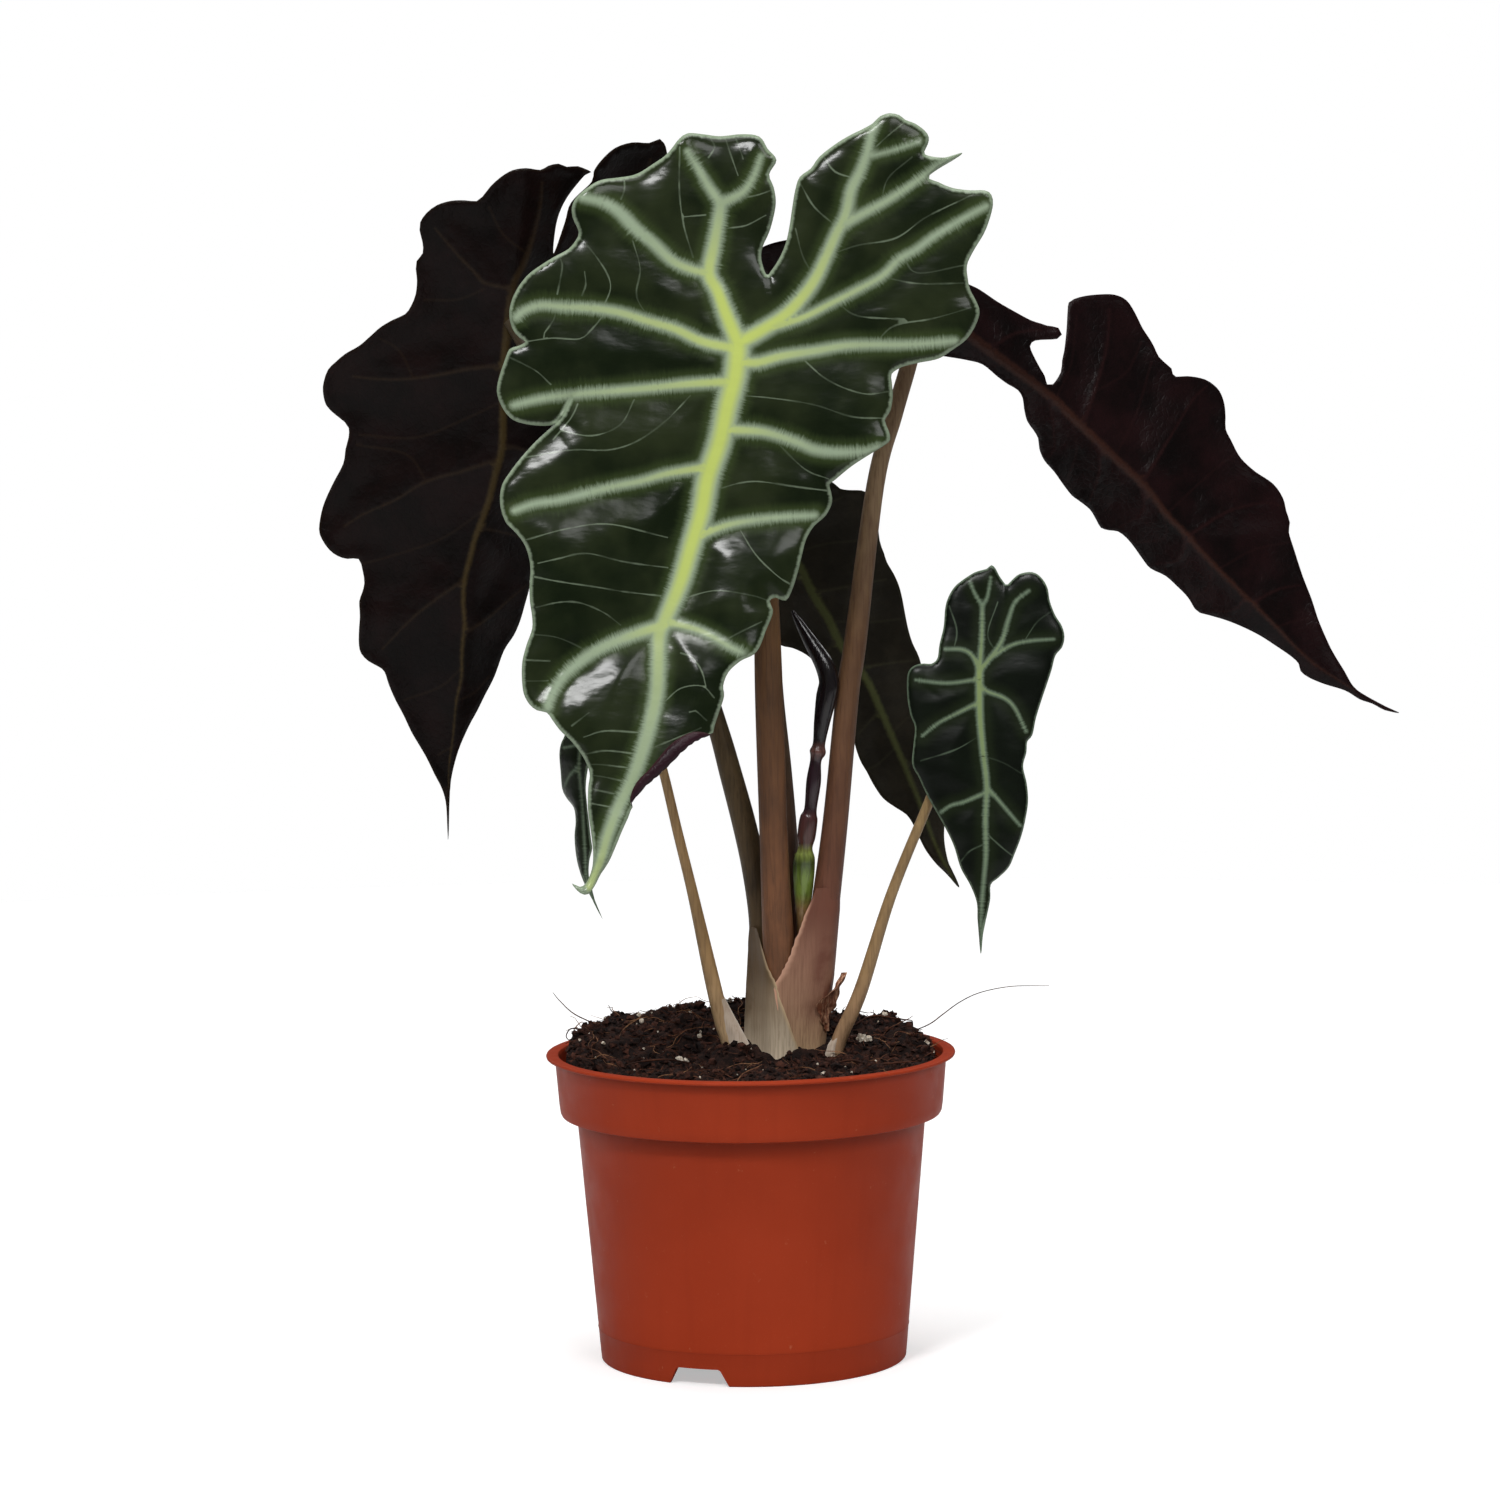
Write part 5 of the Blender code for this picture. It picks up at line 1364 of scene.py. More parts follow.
# %% Right blade: folded along its midrib
RIGHT_BLADE = {
    "lean": (-2.5, 0.33, 0), "folds": (1.1, 0.25), "up": 1, "seed": 7.7,
    "spacing": 1.5, "quilt": 1.6, "wave": 2, "margin": 2.4, "ridge": 0.6, "rim_finish": 1,
    "outline": [
        (67, 313.5), (70, 312), (75, 308.6), (80, 305.7), (85, 303), (88, 302), (90, 301.3), (93.4, 300.6),
        (94.4, 298.6), (93, 297.4), (88, 297.2), (86.3, 297), (84.7, 295.2), (87, 290), (89, 286.5),
        (89.7, 284),
        (91.5, 284), (94, 287.5), (94.5, 291), (95.2, 294), (95.7, 297.5), (96.1, 301), (96.5, 305.5),
        (96.9, 308), (98.5, 309), (102, 309.9), (107, 310.3), (111, 310.1), (114.5, 308.5), (117, 305),
        (119.5, 300), (121.5, 297), (122.9, 294.5), (124.3, 291.5), (127, 289), (128.1, 288),
        (128.5, 286.3), (129.5, 285.5), (133, 285.6), (137, 285), (140, 283.8), (143, 281), (144.5, 277),
        (144.8, 273), (144.8, 269.5), (146.5, 266), (148.5, 262), (150.5, 259.5), (154, 256.5),
        (159.5, 252.8), (162.5, 248.5), (163.5, 244.5), (164.6, 241), (164.3, 238), (166, 232.5),
        (168.5, 224.5), (171, 218), (173, 211.5), (175.5, 205.5), (177.5, 201.5), (181, 196), (184, 191),
        (188, 188), (194, 184.6), (198.5, 182.4), (194, 183.4), (190, 185.6), (186, 187), (181.5, 189.8),
        (175, 192), (170, 194.2), (167.5, 196.2), (166.8, 198.5), (164.5, 200.8), (160, 204), (155, 207.3),
        (150, 209.9), (145, 212), (140, 213.5), (137, 214.3), (135.5, 215.5), (134, 218), (132.5, 220),
        (130, 222.5), (126.5, 225.7), (122, 228), (119.5, 231), (117, 234.5), (114.5, 237.5), (112, 239.4),
        (109.5, 239.7), (107, 240.5), (105.5, 243), (103.5, 246.2), (100, 249), (98, 250.5), (95, 254.3),
        (92.5, 257.8), (89.5, 261.3), (88, 264.8), (87.5, 268), (86, 270.5), (84, 273.3), (83, 277),
        (82.5, 280), (81, 282.5), (78, 284.3), (75, 286.5), (70.5, 290.2), (66, 291.5), (60.5, 292.5),
        (50, 294), (43, 293.5), (38, 290), (34, 284), (28, 279), (21, 279), (17, 285), (19, 293), (27, 300),
        (36, 306), (41, 309.5), (30, 311), (14, 314.5), (5, 319), (6, 325), (20, 327.5), (40, 324.5),
        (55, 319),
    ],
    "veins": [
        ((3.8, 3.4, 3, 2.4, 1.8, 1), (1, 1, 1, 1), [
            (52, 309), (59, 304), (66, 299), (70, 296), (80, 288.5), (90, 281), (100, 271.5), (110, 262),
            (120, 252.3), (126, 244.5), (130, 240.5), (140, 229.5), (150, 219.5), (160, 209.5),
            (170, 199.5), (180, 192.6), (190, 186.6), (196, 183.4)]),
        ((2.4, 1.4), (0.3, 0), [(100, 271.5), (104, 282), (108, 295), (109, 306)]),
        ((2.2, 1.3), (0.3, 0), [(118, 254), (126, 266), (134, 278), (139, 282.5)]),
        ((2.2, 1.3), (0.3, 0), [(132, 238), (145, 245), (157, 247), (163, 245.5)]),
        ((2, 1.2), (0.2, 0), [(152, 217.4), (160, 221), (167, 222)]),
        ((2.2, 1.3), (0.3, 0), [(90, 281), (92, 272), (92.5, 265), (90.6, 262)]),
        ((2, 1.2), (0.3, 0), [(103, 269), (106, 260), (103.6, 249)]),
        ((2, 1.2), (0.2, 0), [(118, 254), (119, 246), (112.5, 240.8)]),
        ((2, 1.2), (0.2, 0), [(132, 238), (130, 231), (123.5, 229.6)]),
        ((1.8, 1.1), (0.2, 0), [(150, 219.5), (147, 215.6), (140, 214.8)]),
        ((3, 1.8), (0.4, 0), [(52, 309), (40, 316), (24, 320), (11, 321)]),
        ((3, 1.8), (0.4, 0), [(52, 309), (46, 301), (34, 293), (24, 286)]),
        ((2.2, 1.2), (0.3, 0), [(72, 294.6), (80, 299), (88, 300)]),
    ],
    "hairs": [
        [(110, 262), (117, 275), (122, 290)], [(126, 245), (138, 255), (147, 262)],
        [(142, 228), (153, 233), (164, 235)],
        [(92, 279.5), (97, 290), (99, 304)], [(160, 210), (168, 212), (172, 212)],
        [(96, 275.5), (99, 265), (96.5, 255)],
        [(124, 247), (126, 238), (117.5, 236)], [(140, 229.6), (139, 222), (134.5, 219)],
        [(103, 281), (114, 287), (119, 296)],
    ],
}

# %% Back blade: hangs behind the stalks
BACK_BLADE = {
    "lean": (45, 0, -0.2), "folds": (0.2, 0.25), "up": 1, "seed": 11.2,
    "spacing": 1.5, "quilt": 1.5, "wave": 2, "margin": 2, "ridge": 0.5, "rim_finish": 1,
    "outline": [
        (26.8, 255), (28.5, 253.5), (31, 253), (35, 252.8), (37, 252), (38.4, 248), (39.5, 244),
        (40.3, 237.5), (41.5, 234), (42.5, 231), (44.5, 227.5), (46, 224), (47, 220), (47.8, 215.5),
        (48.7, 211), (50, 206.5), (52, 202), (53.4, 196), (54.5, 190), (56.5, 176), (58.5, 160),
        (59.4, 153), (59.4, 146), (60.5, 139.5), (62, 136), (64, 131), (60, 135.5), (57, 138.5),
        (54, 142.5), (52, 146.5), (50, 151), (48, 154), (45, 156), (41, 159), (38, 163.5), (36, 167.5),
        (34.5, 170), (33, 174), (31, 182), (29.5, 190), (27.8, 196), (22, 200), (18, 203.5), (14, 205.5),
        (10, 206.5), (2, 211), (-4, 220), (-7, 232), (-5, 243), (2, 250), (6, 251), (8, 247), (10.5, 242),
        (12, 247), (14, 256), (20, 259),
    ],
    "veins": [
        ((3.4, 3.4, 3, 2.4, 1.6), (1, 1, 1, 1), [
            (10.5, 240), (14, 234), (17, 229), (20, 222.5), (25, 214), (28.5, 206.5), (36, 196), (40, 187),
            (45, 175), (50, 163), (54, 152), (58, 142), (62.6, 133)]),
        ((2, 1.2), (0.4, 0.1), [(33.5, 199.6), (42, 200.5), (51, 201.3)]),
        ((1.8, 1.1), (0.4, 0.1), [(40, 187), (37.5, 183.5), (33.6, 179)]),
        ((2, 1.2), (0.3, 0), [(20, 222.5), (30, 224), (42, 226)]),
        ((2, 1.2), (0.3, 0), [(17, 229), (8, 222), (2, 216)]),
        ((2.2, 1.4), (0.3, 0), [(10.5, 240), (20, 247), (29, 251)]),
        ((2.2, 1.4), (0.3, 0), [(10.5, 240), (3, 243), (-3, 238)]),
        ((1.6, 1), (0.2, 0), [(47.5, 169), (52, 171), (56, 172)]),
        ((1.6, 1), (0.2, 0), [(27, 209), (24, 204), (21, 202.4)]),
    ],
    "hairs": [
        [(25, 214), (36, 213), (47.6, 214)], [(43.5, 179), (49, 184), (54.6, 186)],
        [(45, 175), (40, 170), (36.5, 168)],
        [(52, 157), (56, 157), (58.6, 156)], [(14, 234), (24, 237), (39, 238)],
    ],
}

# %% Small right blade: green side to the viewer
SMALL_RIGHT_BLADE = {
    "lean": (-12, 0, 0.15), "folds": (-0.12, -0.12), "up": -1, "seed": 14.9,
    "spacing": 0.9, "quilt": 1.1, "wave": 1.4, "margin": 1.6, "ridge": 0.5,
    "outline": [
        (75.3, 227), (73.5, 229.5), (72.5, 231.5), (71.3, 232.6), (70, 231.5), (66.5, 230.5), (62.5, 228),
        (60.3, 226), (58.6, 223), (57.8, 220), (57.3, 215), (56, 210), (55.3, 206), (53.5, 204.5),
        (51.5, 204.6), (49.3, 204.3), (47.3, 203), (46.5, 200.5), (46.5, 195), (47.3, 190), (48.5, 186.5),
        (48, 181.5), (47.6, 176), (49.5, 172), (52, 166.5), (54.5, 162), (57.5, 156.5), (59.5, 152),
        (61.3, 146), (64, 141), (65.8, 136), (66, 131), (66.3, 127), (66.7, 121.5), (67.3, 127),
        (68.5, 132), (69.6, 137), (69.8, 141), (72, 143), (75, 146), (76.8, 150), (78.7, 155), (80, 160),
        (80.8, 165), (80.5, 170), (79.5, 175), (80.5, 179), (80.8, 182), (82.3, 184), (83.5, 189),
        (85.5, 195), (88, 202), (89.3, 206.5), (91.3, 209), (92, 212), (91.3, 215), (89.5, 218), (88, 222),
        (87.3, 226), (85.5, 229), (83, 230.5), (79.5, 230), (77.5, 228.5), (76, 227),
    ],
    "veins": [
        ((2.4, 2, 1.6, 1.2, 0.8), (1, 0.7, 0.3, 0.1, 0), [
            (67.3, 202), (67.3, 190), (68, 180), (69, 170), (68.5, 160), (68.5, 150), (67.5, 140),
            (66.8, 129)]),
        ((1.7, 1.1), (0.8, 0.1), [(67.3, 202), (68.2, 212), (68.5, 221)]),
        ((0.9, 0.6), (0, 0), [(68.5, 221), (66.4, 224.5), (65, 228)]),
        ((0.9, 0.6), (0, 0), [(68.5, 221), (70, 223.5), (71, 229)]),
        ((1.6, 1.1, 0.7), (0.7, 0.1, 0), [(67.3, 202), (73.5, 210), (76, 217), (78, 222), (82, 225.3)]),
        ((1.3, 0.8), (0.6, 0), [(67.3, 202), (65.5, 206.5), (62.5, 208.5), (57.5, 208.7)]),
        ((1.2, 0.8, 0.5), (0.4, 0), [(69.8, 205.4), (76.5, 209.5), (82, 210.8), (89, 211.3)]),
        ((1.3, 0.9, 0.6), (0.5, 0), [(67.3, 198.6), (69.5, 196.5), (74.5, 194.5), (77.5, 191.5),
            (80.5, 185)]),
        ((1.2, 0.8, 0.5), (0.4, 0), [(67.3, 193.4), (60, 190), (55, 187.5), (50.5, 184)]),
        ((1, 0.6), (0.2, 0), [(68.9, 167.6), (62.5, 165), (58.5, 164), (55.5, 162)]),
        ((1, 0.6), (0.2, 0), [(68.9, 169.5), (73.5, 164), (78.5, 158)]),
        ((0.9, 0.6), (0.2, 0), [(67.3, 200), (58, 199), (49, 200)]),
    ],
    "hairs": [
        [(67.6, 184), (60, 180), (50, 177)], [(68.2, 178), (74, 176), (79, 173)],
        [(68.6, 153), (64, 151), (61.4, 148)],
        [(68.6, 156), (73, 152), (76, 149.5)], [(72, 208), (70, 213), (73, 222)],
        [(60, 208.6), (61, 214), (59, 221)],
        [(80, 210), (84, 216), (88, 219)],
    ],
}

# %% Small left blade: folded, seen almost from its edge
SMALL_LEFT_BLADE = {
    "lean": (-14, 0, 0.05), "folds": (2.2, -2.6), "up": -1, "seed": 18.4,
    "spacing": 0.9, "quilt": 0.6, "wave": 0.5, "margin": 0.8, "ridge": 0.4,
    "outline": [
        (-40.2, 216), (-41.2, 226), (-44, 231), (-49, 228), (-52, 219), (-52.5, 207), (-54.5, 196),
        (-53.5, 189), (-52.8, 185), (-54, 182), (-54.5, 179), (-54.2, 174), (-53.8, 169), (-52.5, 166.5),
        (-50.3, 164), (-49.8, 160), (-50.2, 156), (-50, 151.5), (-49.2, 147), (-47.2, 141.5), (-42.5, 132),
        (-44.5, 137), (-45.5, 141), (-46.3, 145), (-46, 149), (-45.2, 152.5), (-45.5, 155), (-46, 160),
        (-46.5, 165), (-46.7, 172), (-44.6, 183), (-41.8, 195), (-38.4, 206), (-35.2, 216), (-35.6, 224),
        (-37.8, 226), (-39.2, 221),
    ],
    "veins": [
        ((1.2, 0.8, 0.5, 0.4, 0.3), (1, 0.4, 0.1, 0), [
            (-40, 213), (-44.4, 198), (-46.5, 188), (-48.5, 178), (-47.8, 165), (-47.2, 152), (-46.9, 144),
            (-45.6, 139), (-43, 133)]),
        ((0.4, 0.25), (0, 0), [(-48.4, 177), (-50, 175), (-51.5, 173), (-52.9, 170)]),
        ((0.5, 0.3), (0.1, 0), [(-43, 203), (-48, 201), (-52.4, 202)]),
        ((0.7, 0.4), (0.3, 0), [(-40, 213), (-44, 219), (-45.4, 227)]),
        ((0.4, 0.25), (0, 0), [(-47.6, 183), (-50, 182), (-53.2, 181)]),
    ],
}

# %% Make the blades
BLADES = [
    ("blade_front", "front_leaf", FRONT_BLADE, green_top, plum_back, "leaf_green"),
    ("blade_left", "left_leaf", LEFT_BLADE, green_top, left_back, "leaf_purple"),
    ("blade_right", "right_leaf", RIGHT_BLADE, green_top, purple_back, "leaf_purple"),
    ("blade_back", "back_leaf", BACK_BLADE, green_top, grey_back, "leaf_purple"),
    ("blade_small_right", "small_right_leaf", SMALL_RIGHT_BLADE, small_green_top, plum_back, "leaf_green"),
    ("blade_small_left", "small_left_leaf", SMALL_LEFT_BLADE, small_green_top, plum_back, "leaf_green"),
]
for node, name, leaf, upper, under, slot in BLADES:
    add_piece(name, leaf_mesh(name, leaf, upper, under), slot, node)


# %% [markdown]
# ## Sheaths at the base
# Where a stalk leaves the crown it is wrapped in a papery sheath, and the two big ones cross in front in a V.
# Each is a grid of points wound round the bundle of stalks, given a real wall, with fine ribs that run up it
# and an edge that flares and thins out. The thin stalks carry a narrow wing near the foot, made the same way.

# %% A thin sheet with a real wall
def sheet_mesh(name, grid, normals, walls, finish, facts=None):
    """Closes a grid of points into a sheet with an outer and an inner face; walls are thicknesses in mm.
    Facts are grids of numbers for the finish to read."""
    rows, columns = grid.shape[:2]
    outer = (grid + normals * walls[..., None] / 2).reshape(-1, 3)
    inner = (grid - normals * walls[..., None] / 2).reshape(-1, 3)
    count = rows * columns
    faces = []
    for r in range(rows - 1):
        for c in range(columns - 1):
            a, b = r * columns + c, r * columns + c + 1
            quad = (a, b, b + columns, a + columns)
            faces += [quad, tuple(count + i for i in reversed(quad))]
    border = list(range(columns))
    border += [r * columns + columns - 1 for r in range(1, rows)]
    border += [(rows - 1) * columns + c for c in range(columns - 2, -1, -1)]
    border += [r * columns for r in range(rows - 2, 0, -1)]
    for a, b in zip(border, border[1:] + border[:1]):
        faces.append((b, a, a + count, b + count))
    mesh = bpy.data.meshes.new(name)
    mesh.from_pydata((np.vstack([outer, inner]) * MM).tolist(), [], faces)
    shape = bmesh.new()
    shape.from_mesh(mesh)
    bmesh.ops.recalc_face_normals(shape, faces=shape.faces)
    shape.to_mesh(mesh)
    shape.free()
    for fact, values in (facts or {}).items():
        numbers = np.tile(np.asarray(values, np.float32).reshape(-1), 2)
        mesh.attributes.new(fact, "FLOAT", "POINT").data.foreach_set("value", numbers)
    mesh.materials.append(finish)
    return mesh


def empty_grid(rows, columns):
    """Room for the points and normals of a sheet, and for its thicknesses."""
    grid = np.zeros((rows + 1, columns + 1, 3))
    return grid, np.zeros_like(grid), np.zeros((rows + 1, columns + 1))


def between(table, value):
    """The value of a table of (place, value) rows at a place between its rows."""
    return float(np.interp(value, [row[0] for row in table], [row[1] for row in table]))


# %% Sheath finish
def make_sheath_finish(name, low, high, streak, flush, rim, merge=(200, 210)):
    """Pale at the foot, darker above, flushed away from the free edge (round) and towards the top (merge),
    where it has the stalk's colour, with a pale thin rim."""
    material, tree, shader = start_material(name, 0.48, 0.25)
    stops = [(88, low), (104, mix_paint(low, high, 0.7)), (120, high)]
    along = place(tree, (1.0, 1.0, 0.03))
    streaks = step(tree, grain(tree, along, 2.2, 3.0, 0.6), 0.42, 0.66, 0.0, 0.35)
    patches = step(tree, grain(tree, place(tree), 0.13, 3.0), 0.4, 0.7, 0.5, 1.0)
    red = calc(tree, "MULTIPLY", step(tree, attribute(tree, "round"), 0.05, 0.26, 0.0, 0.95), patches)
    higher = step(tree, upward(tree), 92.0, 108.0)
    grown_in = step(tree, upward(tree), *merge, 0.0, 0.95)
    colour = mix(tree, calc(tree, "MULTIPLY", red, higher), height_ramp(tree, stops), flush)
    colour = mix(tree, grown_in, colour, flush)
    colour = mix(tree, streaks, colour, streak)
    set_colour(tree, shader, mix(tree, attribute(tree, "rim"), colour, rim))
    add_bump(tree, shader, streaks, 0.06, 0.5)
    return material


def mix_paint(a, b, share):
    return tuple(p + (q - p) * share for p, q in zip(as_colour(a), as_colour(b)))


left_sheath_finish = make_sheath_finish(
    "left_sheath_finish", (226, 208, 182), (112, 92, 66), (112, 86, 60), (96, 76, 52),
    (196, 170, 134), (106, 117))
right_sheath_finish = make_sheath_finish(
    "right_sheath_finish", (196, 164, 128), (146, 106, 86), (112, 74, 58), (107, 65, 51),
    (206, 160, 134), (118, 133))

# %% Sheath shapes: the skin follows the stalks it wraps, from a free edge in front round to the back
def stalk_circles(names, z):
    """The (x, y, radius) of each named stalk at a height."""
    rows = [[between([(p[2], p[i]) for p in STALKS[name]], z) for i in (0, 1, 3)] for name in names]
    return np.array(rows)


TURNS = np.linspace(0, math.tau, 181)[:-1]
SHEATH_FOOT = 85.0


def skin_radius(circles, z, angle):
    """How far the skin stretched round the stalks is from the middle of the first one, that way."""
    rings = stalk_circles(circles, z)
    reach = np.zeros(len(TURNS))
    for x, y, r in rings:
        offset = (x - rings[0][0]) * np.cos(TURNS) + (y - rings[0][1]) * np.sin(TURNS)
        reach = np.maximum(reach, offset + r)
    facing = np.cos(TURNS - angle)
    return float(min(reach[facing > 0.15] / facing[facing > 0.15]))


def free_edge_angle(circles, z, x, turn):
    """The angle at which the skin in front has reached the free edge's x, coming from the side (turn)."""
    middle = stalk_circles(circles, z)[0][0]
    for degrees in range(0, 120):
        angle = math.radians(270 + turn * (degrees - 80))
        if turn * (middle + skin_radius(circles, z, angle) * math.cos(angle) - x) >= 0:
            return angle
    return angle


def sheath_mesh(name, circles, edge, back, turn, top, slack, finish):
    """Slack gives, by height, how far the skin stands off its stalks; below zero it has grown into them."""
    rows, columns = 60, 90
    grid, normals, walls = empty_grid(rows, columns)
    shares = np.tile((np.arange(columns + 1) / columns) ** 1.25, (rows + 1, 1))
    for r in range(rows + 1):
        z = SHEATH_FOOT + (top - SHEATH_FOOT) * r / rows
        x, y, _ = stalk_circles(circles, z)[0]
        edge_x = between(edge, z) + 0.3 * noise.noise(Vector((z / 5, turn, 0)))
        start = free_edge_angle(circles, z, edge_x, turn)
        for c, share in enumerate(shares[r]):
            angle = start + (math.radians(back) - start) * share
            rib = 0.05 * math.sin(angle * 60 + 3 * noise.noise(Vector((angle * 6, z / 30, turn))))
            bend = 0.22 * noise.noise(Vector((angle * 2.4, z / 16, turn + 4)))
            flare = 0.45 * (1 - smooth01(share / 0.09))
            lift = between(slack, z) + flare + (rib + bend) * (1 - smooth01((z - 112) / 14))
            radius = skin_radius(circles, z, angle) + lift
            normals[r, c] = (math.cos(angle), math.sin(angle), 0)
            grid[r, c] = (x, y, z) + normals[r, c] * radius
            walls[r, c] = 0.16 + 0.3 * smooth01(share / 0.1)
    heights = np.linspace(SHEATH_FOOT, top, rows + 1)[:, None]
    rim = 0.9 * (1 - smooth01(shares / 0.022)) * smooth01((top - heights - 2) / 5)
    return sheet_mesh(name, grid, normals, walls, finish, {"rim": rim, "round": shares})


# Where each free edge is, as (height, x), and how slack each skin is, as (height, gap), all in mm.
RIGHT_EDGE = [(85, 15), (97, 10), (110.8, 7.6), (119.7, 12), (127.5, 14.9), (134.4, 17.6), (139, 19.5)]
LEFT_EDGE = [
    (85, 14.8), (91.8, 13.2), (97.3, 11.5), (104, 9.6), (110.8, 7.6), (117, 5.2), (123.7, 3.2), (127, 2.4),
]
RIGHT_SLACK = [(85, 0.2), (97, 0.6), (105, 0.9), (114, 0.4), (125, 0.2), (132, 0.05), (139, -0.5)]
LEFT_SLACK = [(85, 0.9), (97, 0.75), (110, 0.55), (118, 0.2), (123, 0.0), (127, -0.5)]
right_sheath = sheath_mesh(
    "right_sheath", ("petiole_right", "petiole_front"), RIGHT_EDGE, 430, 1, 139, RIGHT_SLACK,
    right_sheath_finish)
left_sheath = sheath_mesh(
    "left_sheath", ("petiole_left", "petiole_front", "petiole_right"), LEFT_EDGE, 95, -1, 127, LEFT_SLACK,
    left_sheath_finish)
add_piece("right_sheath", right_sheath, "sheath_pink", "sheath_right", sharp_degrees=50)
add_piece("left_sheath", left_sheath, "sheath_pink", "sheath_left", sharp_degrees=50)


# %% Wings on the two thin stalks
def wing_mesh(name, stem, edge, y, finish):
    """A narrow skin from the stalk (stem) to its free edge; both are (x, z) from the top down."""
    rows, columns = 30, 10
    grid, normals, walls = empty_grid(rows, columns)
    heights = np.linspace(stem[0][1], stem[-1][1], rows + 1)
    for r, z in enumerate(heights):
        inner = np.interp(-z, [-p[1] for p in stem], [p[0] for p in stem])
        outer = np.interp(-z, [-p[1] for p in edge], [p[0] for p in edge])
        for c in range(columns + 1):
            share = c / columns
            curl = -0.9 * math.sin(share * math.pi) + 0.25 * noise.noise(Vector((share * 2, z / 3, y)))
            grid[r, c] = (inner + (outer - inner) * share, y + curl + 1.2 * share, z)
            normals[r, c] = (0, -1, 0)
            walls[r, c] = 0.75 - 0.5 * share
    shares = np.tile(np.arange(columns + 1) / columns, (rows + 1, 1))
    facts = {"rim": smooth01((shares - 0.85) / 0.15), "round": 0 * shares}
    return sheet_mesh(name, grid, normals, walls, finish, facts)


LEFT_WING_STEM = [(-9.6, 108.8), (-8.2, 100), (-6.2, 94), (-4, 86)]
LEFT_WING_EDGE = [(-8.2, 108.8), (-5, 102.5), (-1.6, 96), (0.9, 91), (2, 86)]
RIGHT_WING_STEM = [(27.2, 97.5), (25.4, 93), (23.8, 86)]
RIGHT_WING_EDGE = [(25.8, 97.5), (22.6, 93), (20.4, 86)]
wing_finish = make_sheath_finish(
    "wing_finish", (206, 188, 170), (176, 160, 142), (140, 112, 92), (150, 120, 96),
    (216, 204, 190))
left_wing = wing_mesh("left_wing", LEFT_WING_STEM, LEFT_WING_EDGE, -7.6, wing_finish)
right_wing = wing_mesh("right_wing", RIGHT_WING_STEM, RIGHT_WING_EDGE, -7.4, wing_finish)
add_piece("left_wing", left_wing, "petiole_tan", sharp_degrees=60)
add_piece("right_wing", right_wing, "petiole_tan", sharp_degrees=60)


# %% [markdown]
# ## Dry scrap of an old sheath
# A thumbnail of brown, curled skin still clings to the right of the base. It is the same kind of sheet, bent
# round the right stalk and crumpled by noise, with a ragged outline.

# %% Dry scrap
def make_dry_finish():
    material, tree, shader = start_material("dry_sheath_finish", 0.75, 0.2)
    streaks = step(tree, grain(tree, place(tree, (1, 1, 0.12)), 0.9, 4.0, 0.6), 0.4, 0.65)
    colour = mix(tree, streaks, (118, 70, 48), (194, 150, 120))
    dark = step(tree, grain(tree, place(tree), 0.3, 3.0), 0.5, 0.65, 0.0, 0.7)
    set_colour(tree, shader, mix(tree, dark, colour, (78, 42, 26)))
    add_bump(tree, shader, streaks, 0.25, 0.8)
    return material


def dry_scrap_mesh():
    """Sides gives, by height, the angles in degrees round the stalk between which the scrap lies."""
    rows, columns = 30, 16
    foot, height = 96.5, 17
    stem = ("petiole_right",)
    sides = [(96.5, -34, -14), (100, -58, -8), (105, -80, -12), (109, -48, -4), (113.5, -10, 2)]
    grid, normals, walls = empty_grid(rows, columns)
    walls += 0.26
    for r in range(rows + 1):
        for c in range(columns + 1):
            up, across = r / rows, c / columns
            z = foot + height * up
            ragged = 7 * noise.noise(Vector((z / 1.6, 6 * (across > 0.5), 3)))
            low, high = (between([(s[0], s[i]) for s in sides], z) for i in (1, 2))
            angle = math.radians(low + (high - low) * across + ragged)
            crumple = 0.8 * noise.noise(Vector((across * 3, up * 6, 9.0)))
            curl = 1.3 * (2 * across - 1) ** 4 * smooth01((up - 0.2) / 0.3)
            radius = skin_radius(stem, z, angle) + 1.4 + crumple + curl + 1.6 * up**3
            normals[r, c] = (math.cos(angle), math.sin(angle), 0)
            grid[r, c] = (*stalk_circles(stem, z)[0][:2], z) + normals[r, c] * radius
    return sheet_mesh("dry_scrap", grid, normals, walls, make_dry_finish())


add_piece("dry_scrap", dry_scrap_mesh(), "dry_sheath", "dry_sheath_scrap", sharp_degrees=60)


# %% [markdown]
# ## The rolled new leaf
# A new blade comes up rolled like a scroll, green where it leaves its sheath and almost black above, with
# narrow places where it has stuck and grown on. A tube with a radius table gives the swellings, and one
# ridge that winds up it is the free edge of the roll.

# %% Rolled leaf, as (x, y, z, radius) in mm along it
ROLLED_PATH = [
    (15.2, 0.5, 119, 1.2), (15.7, -0.5, 130, 2.0), (16.1, -1.8, 140, 2.9), (16.3, -2.4, 147, 3.1),
    (16.5, -2.6, 150.4, 2.2), (16.9, -2.8, 154, 2.7), (17.6, -2.9, 159, 2.6), (18.2, -3, 162, 1.8),
    (19.2, -3, 170, 2.1), (20, -2.9, 176, 1.7), (20.6, -2.8, 178.5, 2.4), (21, -2.7, 181, 1.8),
    (21.9, -2.6, 187, 2.3), (23.2, -2.4, 194, 2.9), (23.9, -2.0, 199, 3.0), (22.5, -1.2, 204, 2.8),
    (19, 0.2, 210, 2.1), (15.5, 1.3, 216, 1.2), (13.6, 1.9, 219.5, 0.4),
]


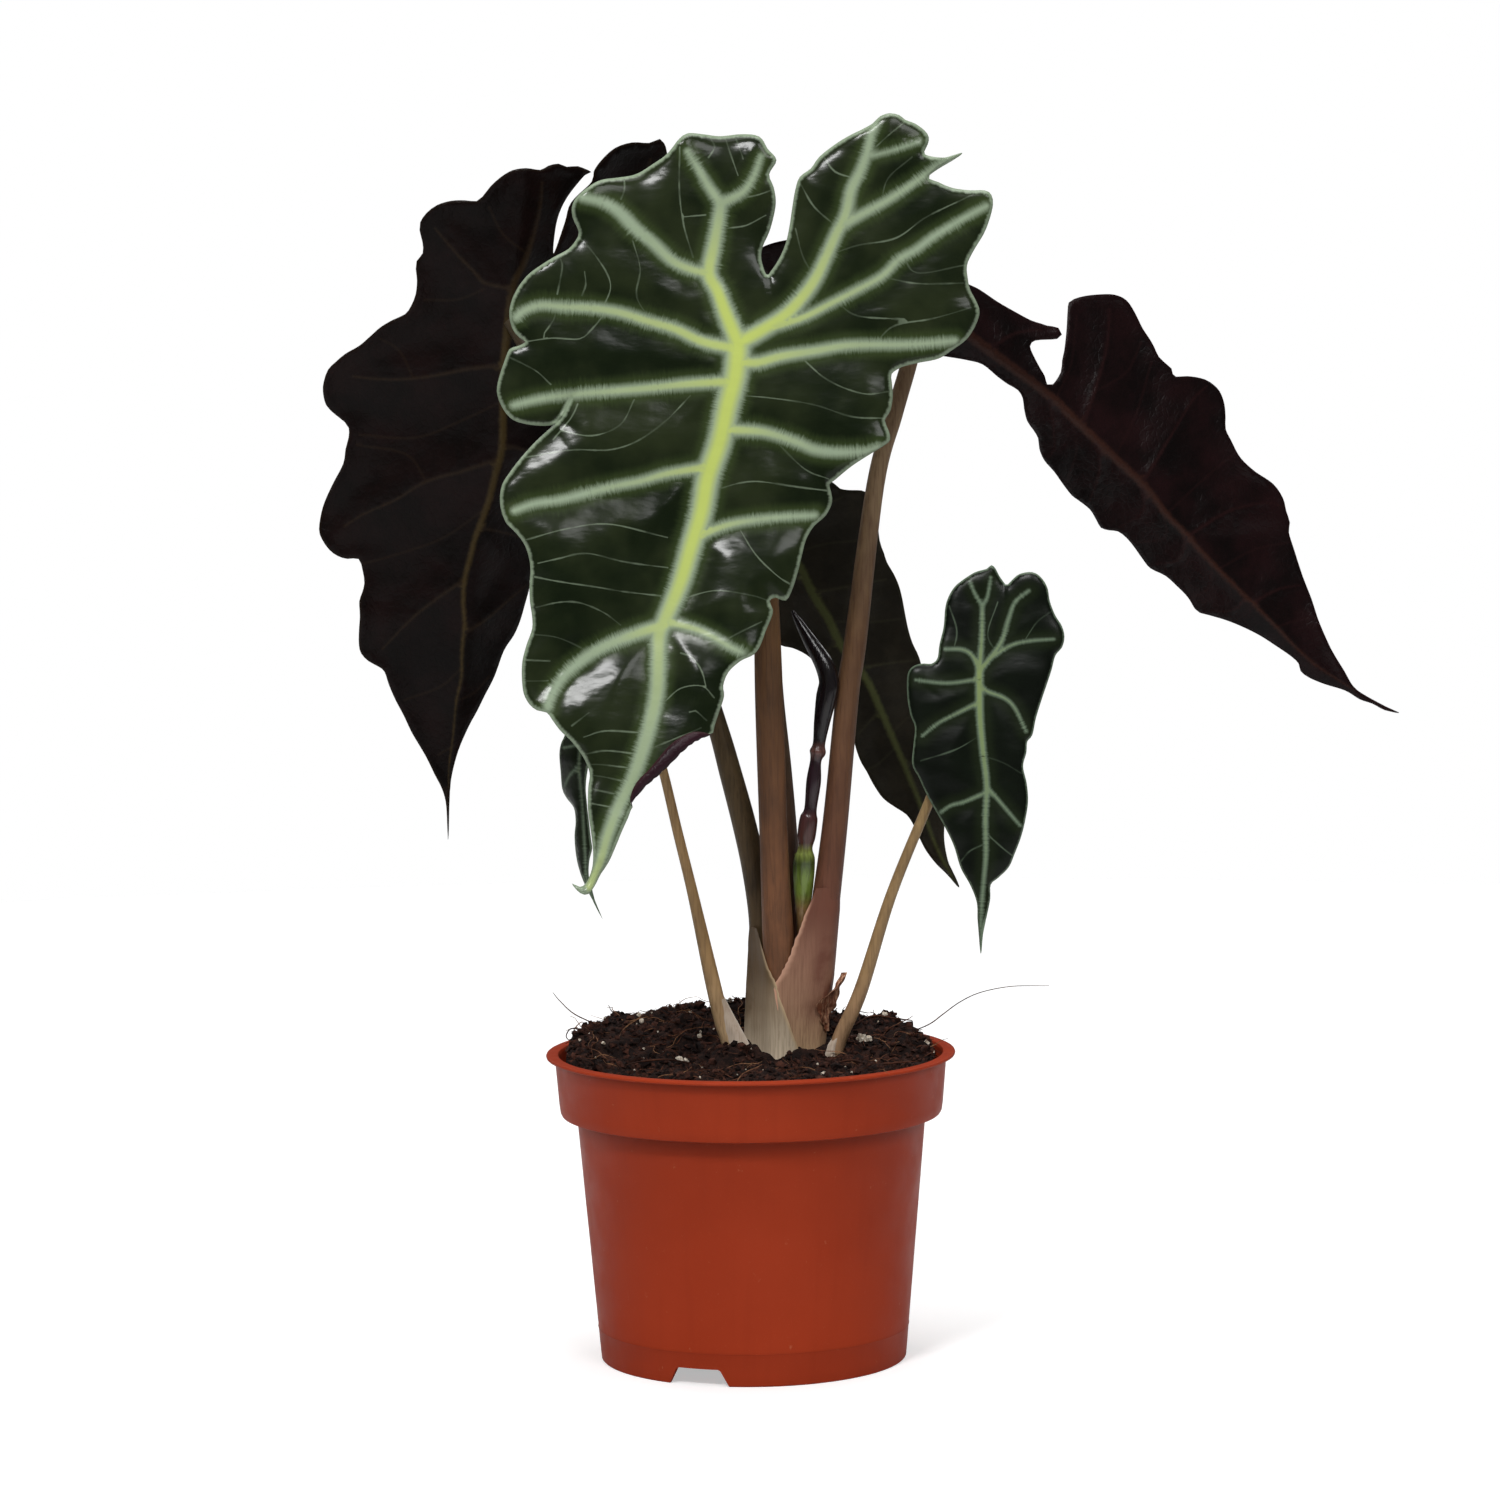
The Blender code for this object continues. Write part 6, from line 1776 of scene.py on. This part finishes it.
def make_rolled_finish():
    material, tree, shader = start_material("rolled_leaf_finish", 0.2, 0.5)
    stops = [
        (119, (132, 96, 64)), (132.5, (142, 112, 70)), (137, (118, 138, 60)),
        (142, (108, 130, 54)), (146, (60, 76, 30)), (149, (124, 136, 66)),
        (152, (74, 44, 38)), (160, (70, 42, 42)), (162, (40, 25, 31)),
        (176, (44, 27, 35)), (179, (104, 70, 64)), (182, (20, 14, 18)),
        (220, (18, 13, 16)),
    ]
    streaks = step(tree, grain(tree, place(tree, (1, 1, 0.06)), 1.2, 3.0), 0.45, 0.65, 0.0, 0.4)
    set_colour(tree, shader, mix(tree, streaks, height_ramp(tree, stops), (30, 26, 20)))
    add_bump(tree, shader, streaks, 0.15, 0.6)
    return material


def scroll(index, angle):
    """The free edge of the roll: the radius grows round the scroll and drops back at the edge."""
    turn = (angle / math.tau + 0.012 * index + 0.2) % 1.0
    return 0.93 + 0.15 * turn - 0.10 * smooth01((turn - 0.93) / 0.07)


rolled_run = through_points(ROLLED_PATH, 8)
rolled_verts, rolled_faces = sweep([p[:3] for p in rolled_run], [p[3] for p in rolled_run], 40, scroll)
rolled_mesh = bpy.data.meshes.new("rolled_leaf_visual")
rolled_mesh.from_pydata(rolled_verts, [], rolled_faces)
rolled_mesh.materials.append(make_rolled_finish())
add_piece("new_leaf_scroll", close_poles(rolled_mesh), "leaf_green", "rolled_leaf", sharp_degrees=50)


# %% [markdown]
# ## Loose hairs
# A few single root hairs and fibres stand clear of the peat, and one long one pokes out over the rim. They
# are the same tube as the stalks, only a few tenths of a millimetre thick.

# %% Loose hairs, as (x, y, z, radius) in mm along each
HAIRS = {
    "rim_hair": [(45, 8, 93.5, 0.17), (52.5, 8, 96.4, 0.19), (57, 8, 99.6, 0.18), (62, 7.6, 103.2, 0.16),
                 (68, 7, 106, 0.14), (77, 6, 107.8, 0.12), (88, 5, 108, 0.08)],
    "left_hair": [(-44, 14, 96, 0.2), (-52, 16, 99.5, 0.18), (-56.5, 17, 103.5, 0.13),
                  (-58.5, 17, 106, 0.08)],
    "left_curl": [(-46, 6, 94, 0.22), (-50.5, 5, 96.5, 0.22), (-53, 4.5, 96.8, 0.2),
                  (-54.2, 4, 94.6, 0.16), (-52.4, 3, 93, 0.12)],
    "front_root": [(22, -20, 89, 0.35), (29, -24, 91, 0.35), (35, -30, 90.6, 0.3),
                   (43, -31, 91.3, 0.22), (48, -27, 91, 0.14)],
    "middle_root": [(-18, -16, 89.5, 0.3), (-24, -20, 91.2, 0.32), (-31, -20, 90.8, 0.28),
                    (-36, -25, 90.5, 0.16)],
    "back_root": [(30, 8, 96, 0.3), (36, 12, 98.6, 0.3), (43, 13, 97.6, 0.26), (48, 17, 96.4, 0.15)],
}
for name, path in HAIRS.items():
    values = {"Sides": 6, "Finish": fibre_finish}
    add_piece(name, run_tree(name, stalk_curve(name + "_path", path, 6), stalk, values), "peat")


# %% [markdown]
# ## Corm and roots
# These stay hidden in the peat, and their CAD shapes are right, so they only get a natural skin.

# %% Corm and root finishes
def make_skin_finish(name, dark, light, scale):
    material, tree, shader = start_material(name, 0.8, 0.2)
    rings = grain(tree, place(tree, (0.3, 0.3, 1.6)), scale, 4.0, 0.6)
    set_colour(tree, shader, mix(tree, step(tree, rings, 0.35, 0.65), dark, light))
    add_bump(tree, shader, rings, 0.5, 0.8)
    return material


corm_finish = make_skin_finish("corm_skin_finish", (70, 44, 30), (128, 90, 62), 0.4)
root_finish = make_skin_finish("root_skin_finish", (160, 134, 100), (206, 186, 150), 0.7)
for node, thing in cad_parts.items():
    if node == "corm" or node.startswith("root_"):
        for material_slot in thing.material_slots:
            material_slot.material = corm_finish if node == "corm" else root_finish
print("CAD nodes with a new skin:", [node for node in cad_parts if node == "corm" or "root_" in node])
